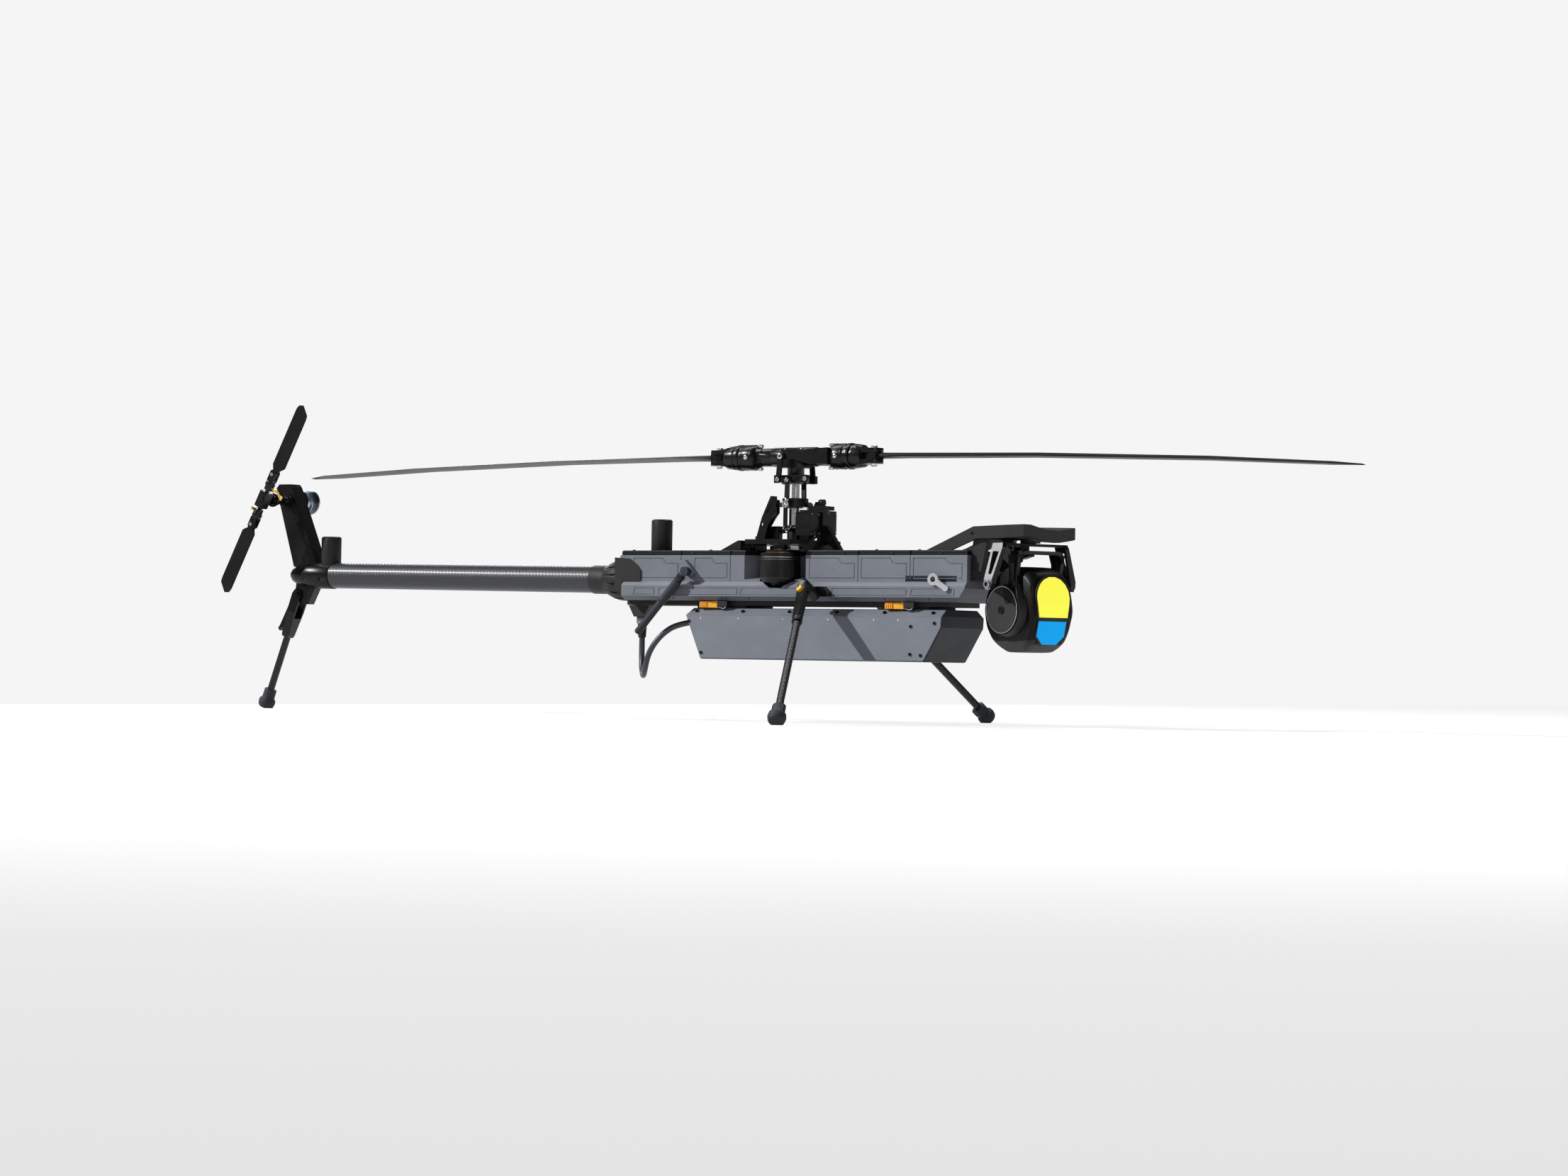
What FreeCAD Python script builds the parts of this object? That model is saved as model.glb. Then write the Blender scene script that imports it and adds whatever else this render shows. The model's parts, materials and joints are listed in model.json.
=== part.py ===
import FreeCAD, Part
import math
import os
import Sketcher

# Single-rotor unmanned helicopter: +X is the nose, +Y the port side, +Z up.
# The origin is on the ground under the middle of the overall box. Every place
# below is measured from the foot of the rotor mast, which stands mast_x ahead.

Vector = FreeCAD.Vector

# Driving dimensions, in millimetres and degrees.
DIMENSIONS = {
    "mast_x": 67.18,
    # rotor head
    "hub_z": 405.6, "mast_rad": 6, "mast_foot_z": 245, "grip_bolt": 139, "blade_tip": 936,
    "blade_chord": 62, "blade_thick": 8, "blade_droop": 23, "pitch_arm": 33, "horn_arm": 15,
    "swash_z": 332, "swash_rad": 23.5, "swash_ball": 35.2, "horn_z": 293,
    "gear_rad": 38, "pinion_rad": 11.7, "gear_z": 262.5, "gear_thick": 6, "motor_x": 5.5,
    "motor_y": -49.7, "motor_rad": 31, "motor_top": 256.8,
    # fuselage
    "shell_back": -283, "shell_front": 335, "shell_half": 58, "shell_floor": 213.2, "seam_z": 253.4,
    "lid_top": 261, "lid_half": 56, "wall": 2.5, "groove": 0.9,
    "tub_back": -276, "tub_half": 64.6, "tub_bottom": 183.6, "tub_step": 207, "tub_bevel": 190.3,
    "keel_bottom": 176.5, "keel_half": 46, "keel_front": 300,
    "bay_back": -54, "bay_front": 55, "bay_y": 17,
    # boom and tail
    "boom_rad": 21.05, "boom_bore": 19.3, "boom_back": -892, "boom_front": -292.4,
    "boom_back_z": 222, "boom_slope": 0.579, "boot_length": 90,
    "tail_x": -984, "tail_z": 345.5, "tail_rotor_y": -75, "tail_tip": 172.5, "tail_lean": 27.8,
    "tail_shaft": 5, "pylon_half": 13.5, "puck_rad": 16.5,
    # landing legs
    "leg_x": 75, "leg_y": 92, "leg_z": 206, "foot_x": 166.6, "foot_y": 312,
    "tail_leg_x": -963, "tail_leg_z": 190, "tail_foot_x": -1030,
    "foot_rad": 14, "foot_z": 12.4, "leg_tube": 5.8, "arm_length": 88, "foot_sleeve": 21,
    # battery case
    "case_half": 63.2, "case_bottom": 94, "case_top": 172.5, "case_edge": 161, "flange_half": 44.5,
    # camera gimbal
    "pan_x": 409, "tilt_z": 173, "gimbal_yaw": -21, "ball_half": 38, "ball_rad": 65,
    "yoke_inner": 38.6, "yoke_outer": 44, "disc_y": 52.6, "roll_z": 88,
    # fits
    "run_fit": 0.05, "gap": 0.4,
}


class Size:
    """A length that knows both its value and its formula in the sheet."""

    def __init__(self, value, text):
        self.value = float(value)
        self.text = text

    def __add__(self, other):
        other = size(other)
        return Size(self.value + other.value, f"({self.text} + {other.text})")

    def __radd__(self, other):
        return size(other) + self

    def __sub__(self, other):
        other = size(other)
        return Size(self.value - other.value, f"({self.text} - {other.text})")

    def __rsub__(self, other):
        return size(other) - self

    def __mul__(self, other):
        other = size(other)
        return Size(self.value * other.value, f"({self.text} * {other.text})")

    def __rmul__(self, other):
        return size(other) * self

    def __truediv__(self, other):
        other = size(other)
        return Size(self.value / other.value, f"({self.text} / {other.text})")

    def __neg__(self):
        return Size(-self.value, f"(-1 * {self.text})")


def size(amount):
    if isinstance(amount, Size):
        return amount
    return Size(amount, f"({float(amount):.5f})")


doc = FreeCAD.newDocument("Helicopter")
sheet = doc.addObject("Spreadsheet::Sheet", "Dims")
D = {}
for row, (name, amount) in enumerate(DIMENSIONS.items(), start=1):
    sheet.set(f"A{row}", name)
    sheet.set(f"B{row}", str(amount))
    sheet.setAlias(f"B{row}", name)
    D[name] = Size(amount, f"Dims.{name}")
doc.recompute()

nodes = {}


def bind(obj, prop, amount):
    """Drive one property from the sheet."""
    amount = size(amount)
    obj.setExpression(prop, amount.text)


def at(obj, x, y, z, rotation=None):
    """Place an object and bind its place to the sheet."""
    places = (size(x), size(y), size(z))
    base = Vector(*(place.value for place in places))
    obj.Placement = FreeCAD.Placement(base, rotation or FreeCAD.Rotation())
    for axis, place in zip("xyz", places):
        bind(obj, f"Placement.Base.{axis}", place)
    return obj


def carried(obj, x, y, z, rotation=None):
    """Carry a shape drawn about its own origin to its place."""
    whole = group(obj) if obj.isDerivedFrom("Part::Primitive") else obj
    return at(whole, x, y, z, rotation)


def node(obj, label, x=0, y=0, z=0, rotation=None):
    """Name a finished sub-part and set it down in the helicopter's frame."""
    whole = carried(obj, D["mast_x"] + x, y, z, rotation)
    whole.Label = label
    nodes[label] = whole
    return whole


def toward(direction):
    return FreeCAD.Rotation(Vector(0, 0, 1), Vector(*direction))


def box(x0, x1, y0, y1, z0, z1):
    solid = doc.addObject("Part::Box", "Block")
    bind(solid, "Length", size(x1) - x0)
    bind(solid, "Width", size(y1) - y0)
    bind(solid, "Height", size(z1) - z0)
    return at(solid, x0, y0, z0)


def rod(base, direction, radius, length):
    solid = doc.addObject("Part::Cylinder", "Rod")
    bind(solid, "Radius", radius)
    bind(solid, "Height", length)
    return at(solid, *base, toward(direction))


def cone(base, direction, radius, far_radius, length):
    solid = doc.addObject("Part::Cone", "Taper")
    bind(solid, "Radius1", radius)
    bind(solid, "Radius2", far_radius)
    bind(solid, "Height", length)
    return at(solid, *base, toward(direction))


def ball(centre, radius):
    solid = doc.addObject("Part::Sphere", "Ball")
    bind(solid, "Radius", radius)
    seam_aside = FreeCAD.Rotation(40, 35, 20)
    return at(solid, *centre, seam_aside)


def numbers(point):
    """The present values of a point whose places may be formulas."""
    return Vector(*(size(place).value for place in point))


def strut(start, end, radius):
    """A round bar between two points."""
    run = numbers(end) - numbers(start)
    return rod(start, tuple(run), radius, run.Length)


def bar(start, end, width, depth):
    """Flat link of rectangular section between two points."""
    start, end = (Vector(*numbers(point)) for point in (start, end))
    run = end - start
    u, v = width / 2, depth / 2
    outline = [(-u, -v), (u, -v), (u, v), (-u, v)]
    return at(slab("XY", outline, 0, run.Length), start.x, start.y, start.z, toward(tuple(run)))


def join(*solids):
    fused = doc.addObject("Part::MultiFuse", "Joined")
    fused.Shapes = list(solids)
    fused.Refine = True
    return fused


def group(*solids):
    """Separate solids kept together as one sub-part."""
    bundle = doc.addObject("Part::Compound", "Group")
    bundle.Links = list(solids)
    return bundle


def cut(base, *tools):
    result = doc.addObject("Part::Cut", "Cut")
    result.Base = base
    result.Tool = tools[0] if len(tools) == 1 else group(*tools)
    result.Refine = True
    return result


def common(first, second):
    shared = doc.addObject("Part::Common", "Shared")
    shared.Base = first
    shared.Tool = second
    return shared


def plane_of(body, role):
    return [item for item in body.Origin.OriginFeatures if item.Role == role][0]


def outline_sketch(body, plane, outline, height):
    """A closed outline of straight lines, each corner bound to the sheet."""
    sketch = body.newObject("Sketcher::SketchObject", "Outline")
    sketch.AttachmentSupport = [(plane_of(body, plane + "_Plane"), "")]
    sketch.MapMode = "FlatFace"
    bind(sketch, "AttachmentOffset.Base.z", height)
    corners = [(size(u), size(v)) for u, v in outline]
    points = [Vector(u.value, v.value, 0) for u, v in corners]
    count = len(points)
    for index in range(count):
        sketch.addGeometry(Part.LineSegment(points[index], points[(index + 1) % count]), False)
    for index in range(count):
        sketch.addConstraint(Sketcher.Constraint("Coincident", index, 2, (index + 1) % count, 1))
    for index, corner in enumerate(corners):
        for kind, place in zip(("DistanceX", "DistanceY"), corner):
            made = sketch.addConstraint(Sketcher.Constraint(kind, -1, 1, index, 1, place.value))
            name = f"{kind}{index}"
            sketch.renameConstraint(made, name)
            bind(sketch, f"Constraints.{name}", place)
    return sketch


def slab(plane, outline, low, high):
    """A flat outline padded from low to high along the plane's own axis."""
    body = doc.addObject("PartDesign::Body", "Slab")
    low, high = size(low), size(high)
    start = -high if plane == "XZ" else low
    pad = body.newObject("PartDesign::Pad", "Pad")
    pad.Profile = outline_sketch(body, plane, outline, start)
    bind(pad, "Length", high - low)
    body.Tip = pad
    return body


def turned(plane, axis, outline):
    """A half profile turned a full circle about one axis of its plane."""
    body = doc.addObject("PartDesign::Body", "Turned")
    turn = body.newObject("PartDesign::Revolution", "Turn")
    sketch = outline_sketch(body, plane, outline, 0)
    turn.Profile = sketch
    turn.ReferenceAxis = (sketch, [axis])
    turn.Angle = 360
    body.Tip = turn
    return body


def pocket(body, plane, outline, height, depth):
    """Cut an outline into a body, down from a height above its plane."""
    doc.recompute()
    before = body.Shape.Volume
    hole = body.newObject("PartDesign::Pocket", "Pocket")
    hole.Profile = outline_sketch(body, plane, outline, height)
    bind(hole, "Length", depth)
    body.Tip = hole
    doc.recompute()
    if not body.Shape.Volume < before - 1:
        raise RuntimeError("a pocket cut nothing")
    return body


def soften(body, kind, amount, wanted):
    """Fillet or chamfer the edges that a test picks out."""
    doc.recompute()
    tip = body.Tip
    names = [f"Edge{i}" for i, edge in enumerate(tip.Shape.Edges, start=1) if wanted(edge)]
    dressing = body.newObject(f"PartDesign::{kind}", kind)
    dressing.Base = (tip, names)
    bind(dressing, "Radius" if kind == "Fillet" else "Size", amount)
    body.Tip = dressing
    return body


def mirrored(points):
    """Complete an outline by reflecting it in its second coordinate."""
    return list(points) + [(u, -size(v)) for u, v in reversed(points)]


def flat_run(edge, low, high):
    """True for an edge that lies wholly between two heights."""
    return low <= edge.BoundBox.ZMin and edge.BoundBox.ZMax <= high


# ---------------------------------------------------------------- fuselage

MODULE_SEAMS = (-169.9, -79.6, 55.7, 147.6, 238)


def bay_outline(back, front, half, inset):
    """Plan of the fuselage with the motor bay cut into its starboard side."""
    bay = D["bay_y"] - inset
    return [
        (back + inset, -half + inset), (D["bay_back"] - inset, -half + inset),
        (D["bay_back"] + 18 - inset, -bay), (D["bay_front"] - 18 + inset, -bay),
        (D["bay_front"] + inset, -half + inset), (front - inset, -half + inset),
        (front - inset, half - inset), (back + inset, half - inset),
    ]


def side_slabs(outline, depth, half):
    """The same outline cut into both flanks of the fuselage."""
    starboard = slab("XZ", outline, -half - 1, -half + depth)
    port = slab("XZ", outline, half - depth, half + 1)
    return [starboard, port]


def panel_rings(x0, x1, z0, z1, half):
    """A stepped frame line on both flanks, made as thin rings."""
    def stepped(inset):
        left, right = x0 + inset, x1 - inset
        low, high = z0 + inset, z1 - inset
        return [(left, low), (right, low), (right, high - 8), (right - 22, high - 8),
                (right - 28, high), (left, high)]
    rings = []
    for outer, inner in zip(side_slabs(stepped(0), D["groove"], half),
                            side_slabs(stepped(1.1), D["groove"] + 1, half)):
        rings.append(cut(outer, inner))
    return rings


def bay_block():
    """The motor bay's own volume, so that its floor follows its walls."""
    back, front, bay = D["bay_back"], D["bay_front"], D["bay_y"]
    return slab("XY", [(back - 0.1, -D["shell_half"]), (back + 18, -bay), (front - 18, -bay),
                       (front + 0.1, -D["shell_half"])], 200, 260)


def fuselage_shell():
    plan = bay_outline(D["shell_back"], D["shell_front"], D["shell_half"], 0)
    inner = bay_outline(D["shell_back"], D["shell_front"], D["shell_half"], D["wall"])
    shell = slab("XY", plan, D["shell_floor"], D["seam_z"])
    pocket(shell, "XY", inner, D["seam_z"], D["seam_z"] - D["shell_floor"] - D["wall"])
    tools = []
    for seam in MODULE_SEAMS:
        line = [(seam - 0.6, 212), (seam + 0.6, 212), (seam + 0.6, 254), (seam - 0.6, 254)]
        tools += side_slabs(line, D["groove"], D["shell_half"])
    low, high = D["shell_floor"] + 5, D["seam_z"] - 4
    for start, end in ((-258, -175), (-145, -85), (62, 142), (153, 232), (243, 327)):
        tools += panel_rings(start, end, low, high, D["shell_half"])
    for side in (-1, 1):
        tools.append(slab("YZ", [(side * 58.2, 223.5), (side * 56.3, 214), (side * 58.2, 214)], 230, 318))
    floor = slab("YZ", [(-17, 213.25), (-17, 224), (-57.9, 216.5), (-57.9, 213.25)],
                 D["bay_back"], D["bay_front"])
    well = rod((D["motor_x"], D["motor_y"], 200), (0, 0, 1), D["motor_rad"] + 1.2, 60)
    node(cut(join(shell, common(floor, bay_block())), well, *tools), "fuselage_shell")


def top_lid():
    plan = bay_outline(D["shell_back"] + 2, D["shell_front"] - 1, D["lid_half"], 0)
    inner = bay_outline(D["shell_back"] + 2, D["shell_front"] - 1, D["lid_half"], 3)
    lid = slab("XY", plan, D["seam_z"], D["lid_top"])
    pocket(lid, "XY", inner, D["lid_top"] - 3, D["lid_top"] - D["seam_z"] - 3)
    top = D["lid_top"].value
    soften(lid, "Chamfer", 1.6, lambda edge: flat_run(edge, top - 0.01, top + 0.01))
    ramp = slab("XZ", [(-106, D["lid_top"]), (-69, D["lid_top"]), (-69, 276.5), (-74, 276.5)], -46, 30)
    bore = rod((0, 0, 240), (0, 0, 1), D["mast_rad"] + D["run_fit"], 60)
    notches = [box(seam - 1.5, seam + 1.5, side - 1.5, side + 1.5, 252, 270)
               for seam in MODULE_SEAMS for side in (-D["lid_half"], D["lid_half"])]
    node(cut(join(lid, ramp), bore, *notches), "top_lid")


def belly_tub():
    profile = mirrored([(D["tub_half"] - 11.6, D["tub_bottom"]), (D["tub_half"], D["tub_bevel"]),
                        (D["tub_half"], D["tub_step"]), (D["shell_half"], D["shell_floor"])])
    # The profile's first coordinate runs across and its second runs up.
    right = [(y, z) for y, z in profile[:4]]
    left = [(-size(y), z) for y, z in reversed(right)]
    tub = slab("YZ", right + left, D["tub_back"], D["shell_front"])
    inner = [(D["tub_back"] + 4, -53), (D["shell_front"] - 16, -53), (D["shell_front"] - 16, 53),
             (D["tub_back"] + 4, 53)]
    pocket(tub, "XY", inner, D["shell_floor"], D["shell_floor"] - D["tub_bottom"] - D["wall"])
    rake = slab("XZ", [(D["shell_front"], 204), (325, 190), (321, 183), (345, 183), (345, 204)], -70, 70)
    tools = [rake, cone((D["motor_x"], D["motor_y"], 203.5), (0, 0, 1), 18, 30, 13)]
    for start, end in ((-254, -214), (-208, -62), (-58, 60), (104, 236), (242, 318)):
        for outer, inner_box in zip(
                side_slabs([(start, 192), (end, 192), (end, 203), (start + 3, 203)], 0.8, D["tub_half"]),
                side_slabs([(start + 1.2, 193.2), (end - 1.2, 193.2), (end - 1.2, 201.8),
                            (start + 4, 201.8)], 1.8, D["tub_half"])):
            tools.append(cut(outer, inner_box))
    for place in (-190, -182, -92, -84, -44, 104, 110, 196, 272):
        for side in (-1, 1):
            slot = box(place - 1.2, place + 1.2, side * 60 - 4, side * 60 + 4, 183.9, 189)
            tools.append(slot)
    node(cut(tub, *tools), "belly_tub")


def hanger_rail():
    keel = box(-277, D["keel_front"], -D["keel_half"], D["keel_half"], D["keel_bottom"], D["tub_bottom"])
    parts = [keel]
    for start, end in ((-150, -62), (182, 262)):
        parts.append(box(start, end, -40, 40, D["case_top"], D["keel_bottom"]))
    for start in (-103.6, 226.4):
        parts.append(box(start, start + 18, -57, -40, 174.5, 183))
    node(join(*parts), "hanger_rail")


COLLAR_FLUTES = 14


def boom_collar():
    """Fluted socket that holds the boom, and the clamp plates on the hull."""
    inner = D["boom_rad"] + 0.05
    profile = [(0, inner), (0, 22.6), (24, 22.6), (28, 23.6), (34, 26.6), (42, 30), (50, 32), (62, 33),
               (85, 33), (85, inner)]
    sleeve = turned("XZ", "H_Axis", profile)
    flutes = []
    for step in range(COLLAR_FLUTES):
        turn = math.radians(360 / COLLAR_FLUTES * (step + 0.5))
        across, up = math.cos(turn), math.sin(turn)
        start = (30, 26.4 * across, 26.4 * up)
        end = (70, 34.6 * across, 34.6 * up)
        flutes.append(strut(start, end, 1.9))
    slope = FreeCAD.Rotation(Vector(0, 1, 0), D["boom_slope"].value)
    socket = at(cut(sleeve, *flutes), -369, 0, 216.715, slope)
    outline = [(-58, 205), (-48, 192), (48, 192), (58, 205), (58, 240), (46, 250), (-46, 250), (-58, 240)]
    flange = slab("YZ", outline, -292, D["shell_back"])
    cheeks = []
    for side in (-1, 1):
        low, high = (D["shell_half"], 60.2) if side > 0 else (-60.2, -D["shell_half"])
        cheeks.append(slab("XZ", [(-292, 197), (-277, 197), (-277, 213.5), (-245, 213.5), (-243.5, 219),
                                  (-243.5, 230), (-250, 238), (-264, 248), (-292, 250)], low, high))
    node(join(socket, flange, *cheeks), "boom_collar")


def tail_boom():
    length = D["boom_front"] - D["boom_back"]
    outer = rod((0, 0, 0), (1, 0, 0), D["boom_rad"], length)
    bore = rod((-1, 0, 0), (1, 0, 0), D["boom_bore"], length + 2)
    slope = FreeCAD.Rotation(Vector(0, 1, 0), D["boom_slope"].value)
    node(cut(outer, bore), "tail_boom", D["boom_back"], 0, D["boom_back_z"], slope)


def boot_solid():
    """The pointed boot that closes the boom, with a spigot in the tube."""
    end = D["boot_length"]
    profile = [(0, 0), (0, 3), (2, 7), (8, 12.5), (18, 17), (32, 20.5), (46, 22.3), (end, 22.3),
               (end, D["boom_bore"] - 0.05), (end + 20, D["boom_bore"] - 0.05), (end + 20, 0)]
    solid = turned("XZ", "H_Axis", profile)
    slope = FreeCAD.Rotation(Vector(0, 1, 0), D["boom_slope"].value)
    return at(solid, D["boom_back"] - D["boot_length"], 0, D["boom_back_z"] + 0.95, slope)


def tail_pylon():
    """Fin that carries the tail rotor, standing on the boot that closes the boom."""
    side = [(-969, 236), (-917, 236), (-973, 367), (-978, 373.5), (-1003, 373.5), (-1009, 367)]
    plate = slab("XZ", side, -D["pylon_half"], D["pylon_half"])
    soften(plate, "Chamfer", 1.5, lambda edge: edge.BoundBox.YLength < 0.01)
    collars = [rod((D["tail_x"], -D["pylon_half"], D["tail_z"]), (0, -1, 0), 12, 5),
               rod((D["tail_x"], -D["pylon_half"] - 5, D["tail_z"]), (0, -1, 0), 8.5, 9)]
    bore = rod((D["tail_x"], -50, D["tail_z"]), (0, 1, 0), D["tail_shaft"] + D["run_fit"], 80)
    screws = [rod((x, -D["pylon_half"] - 0.5, z), (0, 1, 0), 2.6, 2.5)
              for x, z in ((-972, 341), (-926, 248))]
    fin = cut(join(plate, *collars), boot_solid(), bore, *screws)
    slots = [box(x, x + 4, side * 22 - 2, side * 22 + 2, 206, 218) for x in (-944, -910)
             for side in (-1, 1)]
    node(group(fin, cut(boot_solid(), *slots)), "tail_pylon")


def antenna_mounts():
    """Two round antenna housings and the wedge that carries the folding whip."""
    height = 50
    profile = [(0, 0), (D["puck_rad"], 0), (D["puck_rad"], height - 2), (D["puck_rad"] - 2, height),
               (0, height)]
    rear = at(turned("XZ", "V_Axis", profile), -244.5, 0, D["lid_top"])
    tail = at(turned("XZ", "V_Axis", profile), -900, 0, 236)
    boom = rod((-900, 0, 222.1), (1, 0, -0.0101), D["boom_rad"] + 0.05, 80)
    wedge = slab("XZ", [(-171, 246), (-158, 246), (-140, 226), (-146, 221), (-160, 224)], -66, -58.05)
    post = rod((-152, -66, 228), (0, -1, 0), 6.5, 2.6)
    node(group(rear, cut(tail, boot_solid(), boom), join(wedge, post)), "antenna_mounts")


# -------------------------------------------------------------- drive train

def motor_stators():
    x, y = D["motor_x"], D["motor_y"]
    plate = join(rod((x, y, D["motor_top"] + 1), (0, 0, 1), 24, 3.4),
                 box(x - 17, x + 17, y, -D["bay_y"], D["motor_top"] + 1, D["motor_top"] + 4.4))
    core = join(plate, rod((x, y, 227), (0, 0, 1), 23.5, D["motor_top"] + 2 - 227))
    main = cut(core, rod((x, y, 220), (0, 0, 1), 4.4, 60))
    flange = join(rod((D["tail_x"], D["pylon_half"], D["tail_z"]), (0, 1, 0), 17, 3),
                  rod((D["tail_x"], D["pylon_half"], D["tail_z"]), (0, 1, 0), 14, 29))
    tail = cut(flange, rod((D["tail_x"], 0, D["tail_z"]), (0, 1, 0), D["tail_shaft"] + D["gap"], 60))
    node(group(main, tail), "motor_stators")


def main_motor_bell():
    """Rotating can of the motor, closed below and open at the top."""
    radius = D["motor_rad"]
    top = D["motor_top"]
    inside = radius - 4.7
    profile = [(0, 206.6), (11, 206.6), (13, 208), (17, 209), (radius - 6, 213), (radius - 1.5, 216.5),
               (radius, 219.5), (radius, 249), (radius - 0.8, 249.6), (radius - 0.8, 250.6),
               (radius, 251.2), (radius, top), (inside, top), (inside, 224), (4, 224),
               (4, D["gear_z"] + D["gear_thick"] + 0.3), (0, D["gear_z"] + D["gear_thick"] + 0.3)]
    bell = turned("XZ", "V_Axis", profile)
    pinion = rod((0, 0, D["gear_z"]), (0, 0, 1), D["pinion_rad"], D["gear_thick"])
    node(join(bell, pinion), "main_motor_bell", D["motor_x"], D["motor_y"], 0)


def mast():
    shaft = rod((0, 0, D["mast_foot_z"]), (0, 0, 1), D["mast_rad"], 400 - D["mast_foot_z"])
    gear = rod((0, 0, D["gear_z"]), (0, 0, 1), D["gear_rad"], D["gear_thick"])
    ports = [rod((22 * math.cos(math.radians(60 * i)), 22 * math.sin(math.radians(60 * i)), 260),
                 (0, 0, 1), 6.5, 12) for i in range(6)]
    node(cut(join(shaft, gear), *ports), "mast")


def mechanics_deck():
    plan = [(-40, -80), (40, -80), (50, -40), (58, 12), (58, 40), (-68, 40), (-68, -36), (-50, -50)]
    plate = slab("XY", plan, 269.8, 277)
    posts = [rod((x, y, D["lid_top"]), (0, 0, 1), 4, 9.5) for x, y in ((50, -30), (52, 34), (-52, 34))]
    posts.append(rod((-58, -28, D["lid_top"]), (0, 0, 1), 4, 9.5))
    skirt = slab("XY", [(39, -42), (57, -42), (57, 20), (51, 20), (51, -36), (39, -36)], D["lid_top"], 270)
    tower = rod((0, 0, 277), (0, 0, 1), 12, 24)
    pillar = box(50.4, 54, -7, 8, D["lid_top"], 326)
    roof = join(box(30, 54, -37, 10.5, 320.4, 323), box(28, 58, -7, 20, 323.8, 330),
                box(28, 54, -7, 8, 322, 325), box(34, 50, -1, 7, 329.5, 333),
                rod((42, 3, 335.5), (1, 0, 0), 5, 8.5), rod((35, 3, 333.5), (1, 0, 0), 3.4, 8))
    gusset = slab("XZ", [(54, 277), (76, 261), (84, 261), (58, 300), (54, 300)], -2, 8)
    cheek = [(-36.8, 346), (-41.5, 346), (-57, 313), (-68, 277), (-52, 277), (-46, 300),
             (-38, 312), (-31.5, 320), (-31.5, 340), (-36.8, 341)]
    cheeks = [slab("XZ", cheek, low, low + 3.2) for low in (-5.9, 2.7)]
    bridge = box(-41, -36.8, -5.9, 5.9, 341.5, 346)
    foot = box(-68, -52, -5.9, 5.9, 277, 284)
    windows = [slab("XZ", [(-36, 337), (-40, 337), (-49, 320), (-45, 320)], -7, 7),
               rod((-55, -7, 302), (0, 1, 0), 3.2, 14)]
    bore = rod((0, 0, 265), (0, 0, 1), D["mast_rad"] + D["run_fit"], 45)
    body = join(plate, *posts, skirt, tower, pillar, roof, gusset, *cheeks, bridge, foot)
    node(cut(body, bore, *windows), "mechanics_deck")


def servo_case(x0, x1, y0, y1, z0, z1):
    case = slab("XY", [(x0, y0), (x1, y0), (x1, y1), (x0, y1)], z0, z1)
    doc.recompute()
    return soften(case, "Chamfer", 1, lambda edge: edge.BoundBox.ZLength > 5)


def servos():
    parts = []
    for side, near, far, low, high in ((-1, 9, 37, 284, 320.2), (1, 12, 41, 287, 323.4)):
        y0, y1 = sorted((side * near, side * far))
        case = servo_case(23, 50, y0, y1, low, high)
        boss = rod((14, side * 20, D["horn_z"]), (1, 0, 0), 4, 10)
        foot = box(29, 44, y0 + 5, y1 - 5, 277, low)
        parts.append(join(case, boss, foot))
    lying = servo_case(-62, -34, 8, 20, 277, 300)
    parts.append(join(lying, rod((-39.7, 19, D["horn_z"]), (0, 1, 0), 4, 3.4)))
    node(group(*parts), "servos")


def horn_shapes():
    arm = D["horn_arm"]
    for side, label in ((-1, "starboard_horn"), (1, "port_horn")):
        hub = rod((0, 0, 0), (1, 0, 0), 4.6, 3.5)
        lever = box(0, 3.5, -2.6, 2.6, 0, arm)
        eye = rod((0, 0, arm), (1, 0, 0), 3.2, 3.5)
        pin = join(rod((-4, 0, arm), (1, 0, 0), 1.4, 5), ball((-6.2, 0, arm), 2.8))
        turn = FreeCAD.Rotation(Vector(1, 0, 0), 90 if side < 0 else -90)
        node(join(hub, lever, eye, pin), label, 10.2, side * 20, D["horn_z"], turn)
    hub = rod((0, 0, 0), (0, 1, 0), 4.6, 3)
    lever = box(0, arm, 0, 3, -2.6, 2.6)
    eye = rod((arm, 0, 0), (0, 1, 0), 3.2, 3)
    pin = join(rod((arm, 2, 0), (0, 1, 0), 1.4, 3), ball((arm, 6, 0), 2.8))
    node(join(hub, lever, eye, pin), "rear_horn", -39.7, 22.7, D["horn_z"])


SWASH_BALLS = ((4, -35), (4, 35), (-24.7, 28.7))


def swashplate_outer():
    centre = D["swash_z"]
    ring = rod((0, 0, centre - 3.5), (0, 0, 1), D["swash_rad"], 7)
    studs = []
    for x, y in SWASH_BALLS:
        studs.append(strut((x * 0.5, y * 0.5, centre.value), (x, y, centre.value), 1.6))
        studs.append(ball((x, y, centre), 3))
    guide = rod((-20, 0, centre), (-1, 0, 0), 2.3, 19)
    bore = rod((0, 0, centre - 10), (0, 0, 1), 12.4, 20)
    node(cut(join(ring, *studs, guide), bore), "swashplate_outer")


def servo_links():
    links = []
    for x, y in SWASH_BALLS:
        low, high = D["horn_z"].value, D["swash_z"].value
        reach = math.hypot(x, y)
        foot_axis = (1, 0, 0) if x > 0 else (0, 1, 0)
        head_axis = (x / reach, y / reach, 0)
        eyes = []
        for z, hole, (ax, ay, _) in ((low, 4, foot_axis), (high, 3.05, head_axis)):
            ring = rod((x - 2 * ax, y - 2 * ay, z), (ax, ay, 0), 5.6, 4)
            eyes.append(cut(ring, rod((x - 6 * ax, y - 6 * ay, z), (ax, ay, 0), hole, 12)))
        links.append(join(bar((x, y, low + 4.8), (x, y, high - 4.8), 6, 3.2), *eyes))
    node(group(*links), "servo_links")


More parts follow.
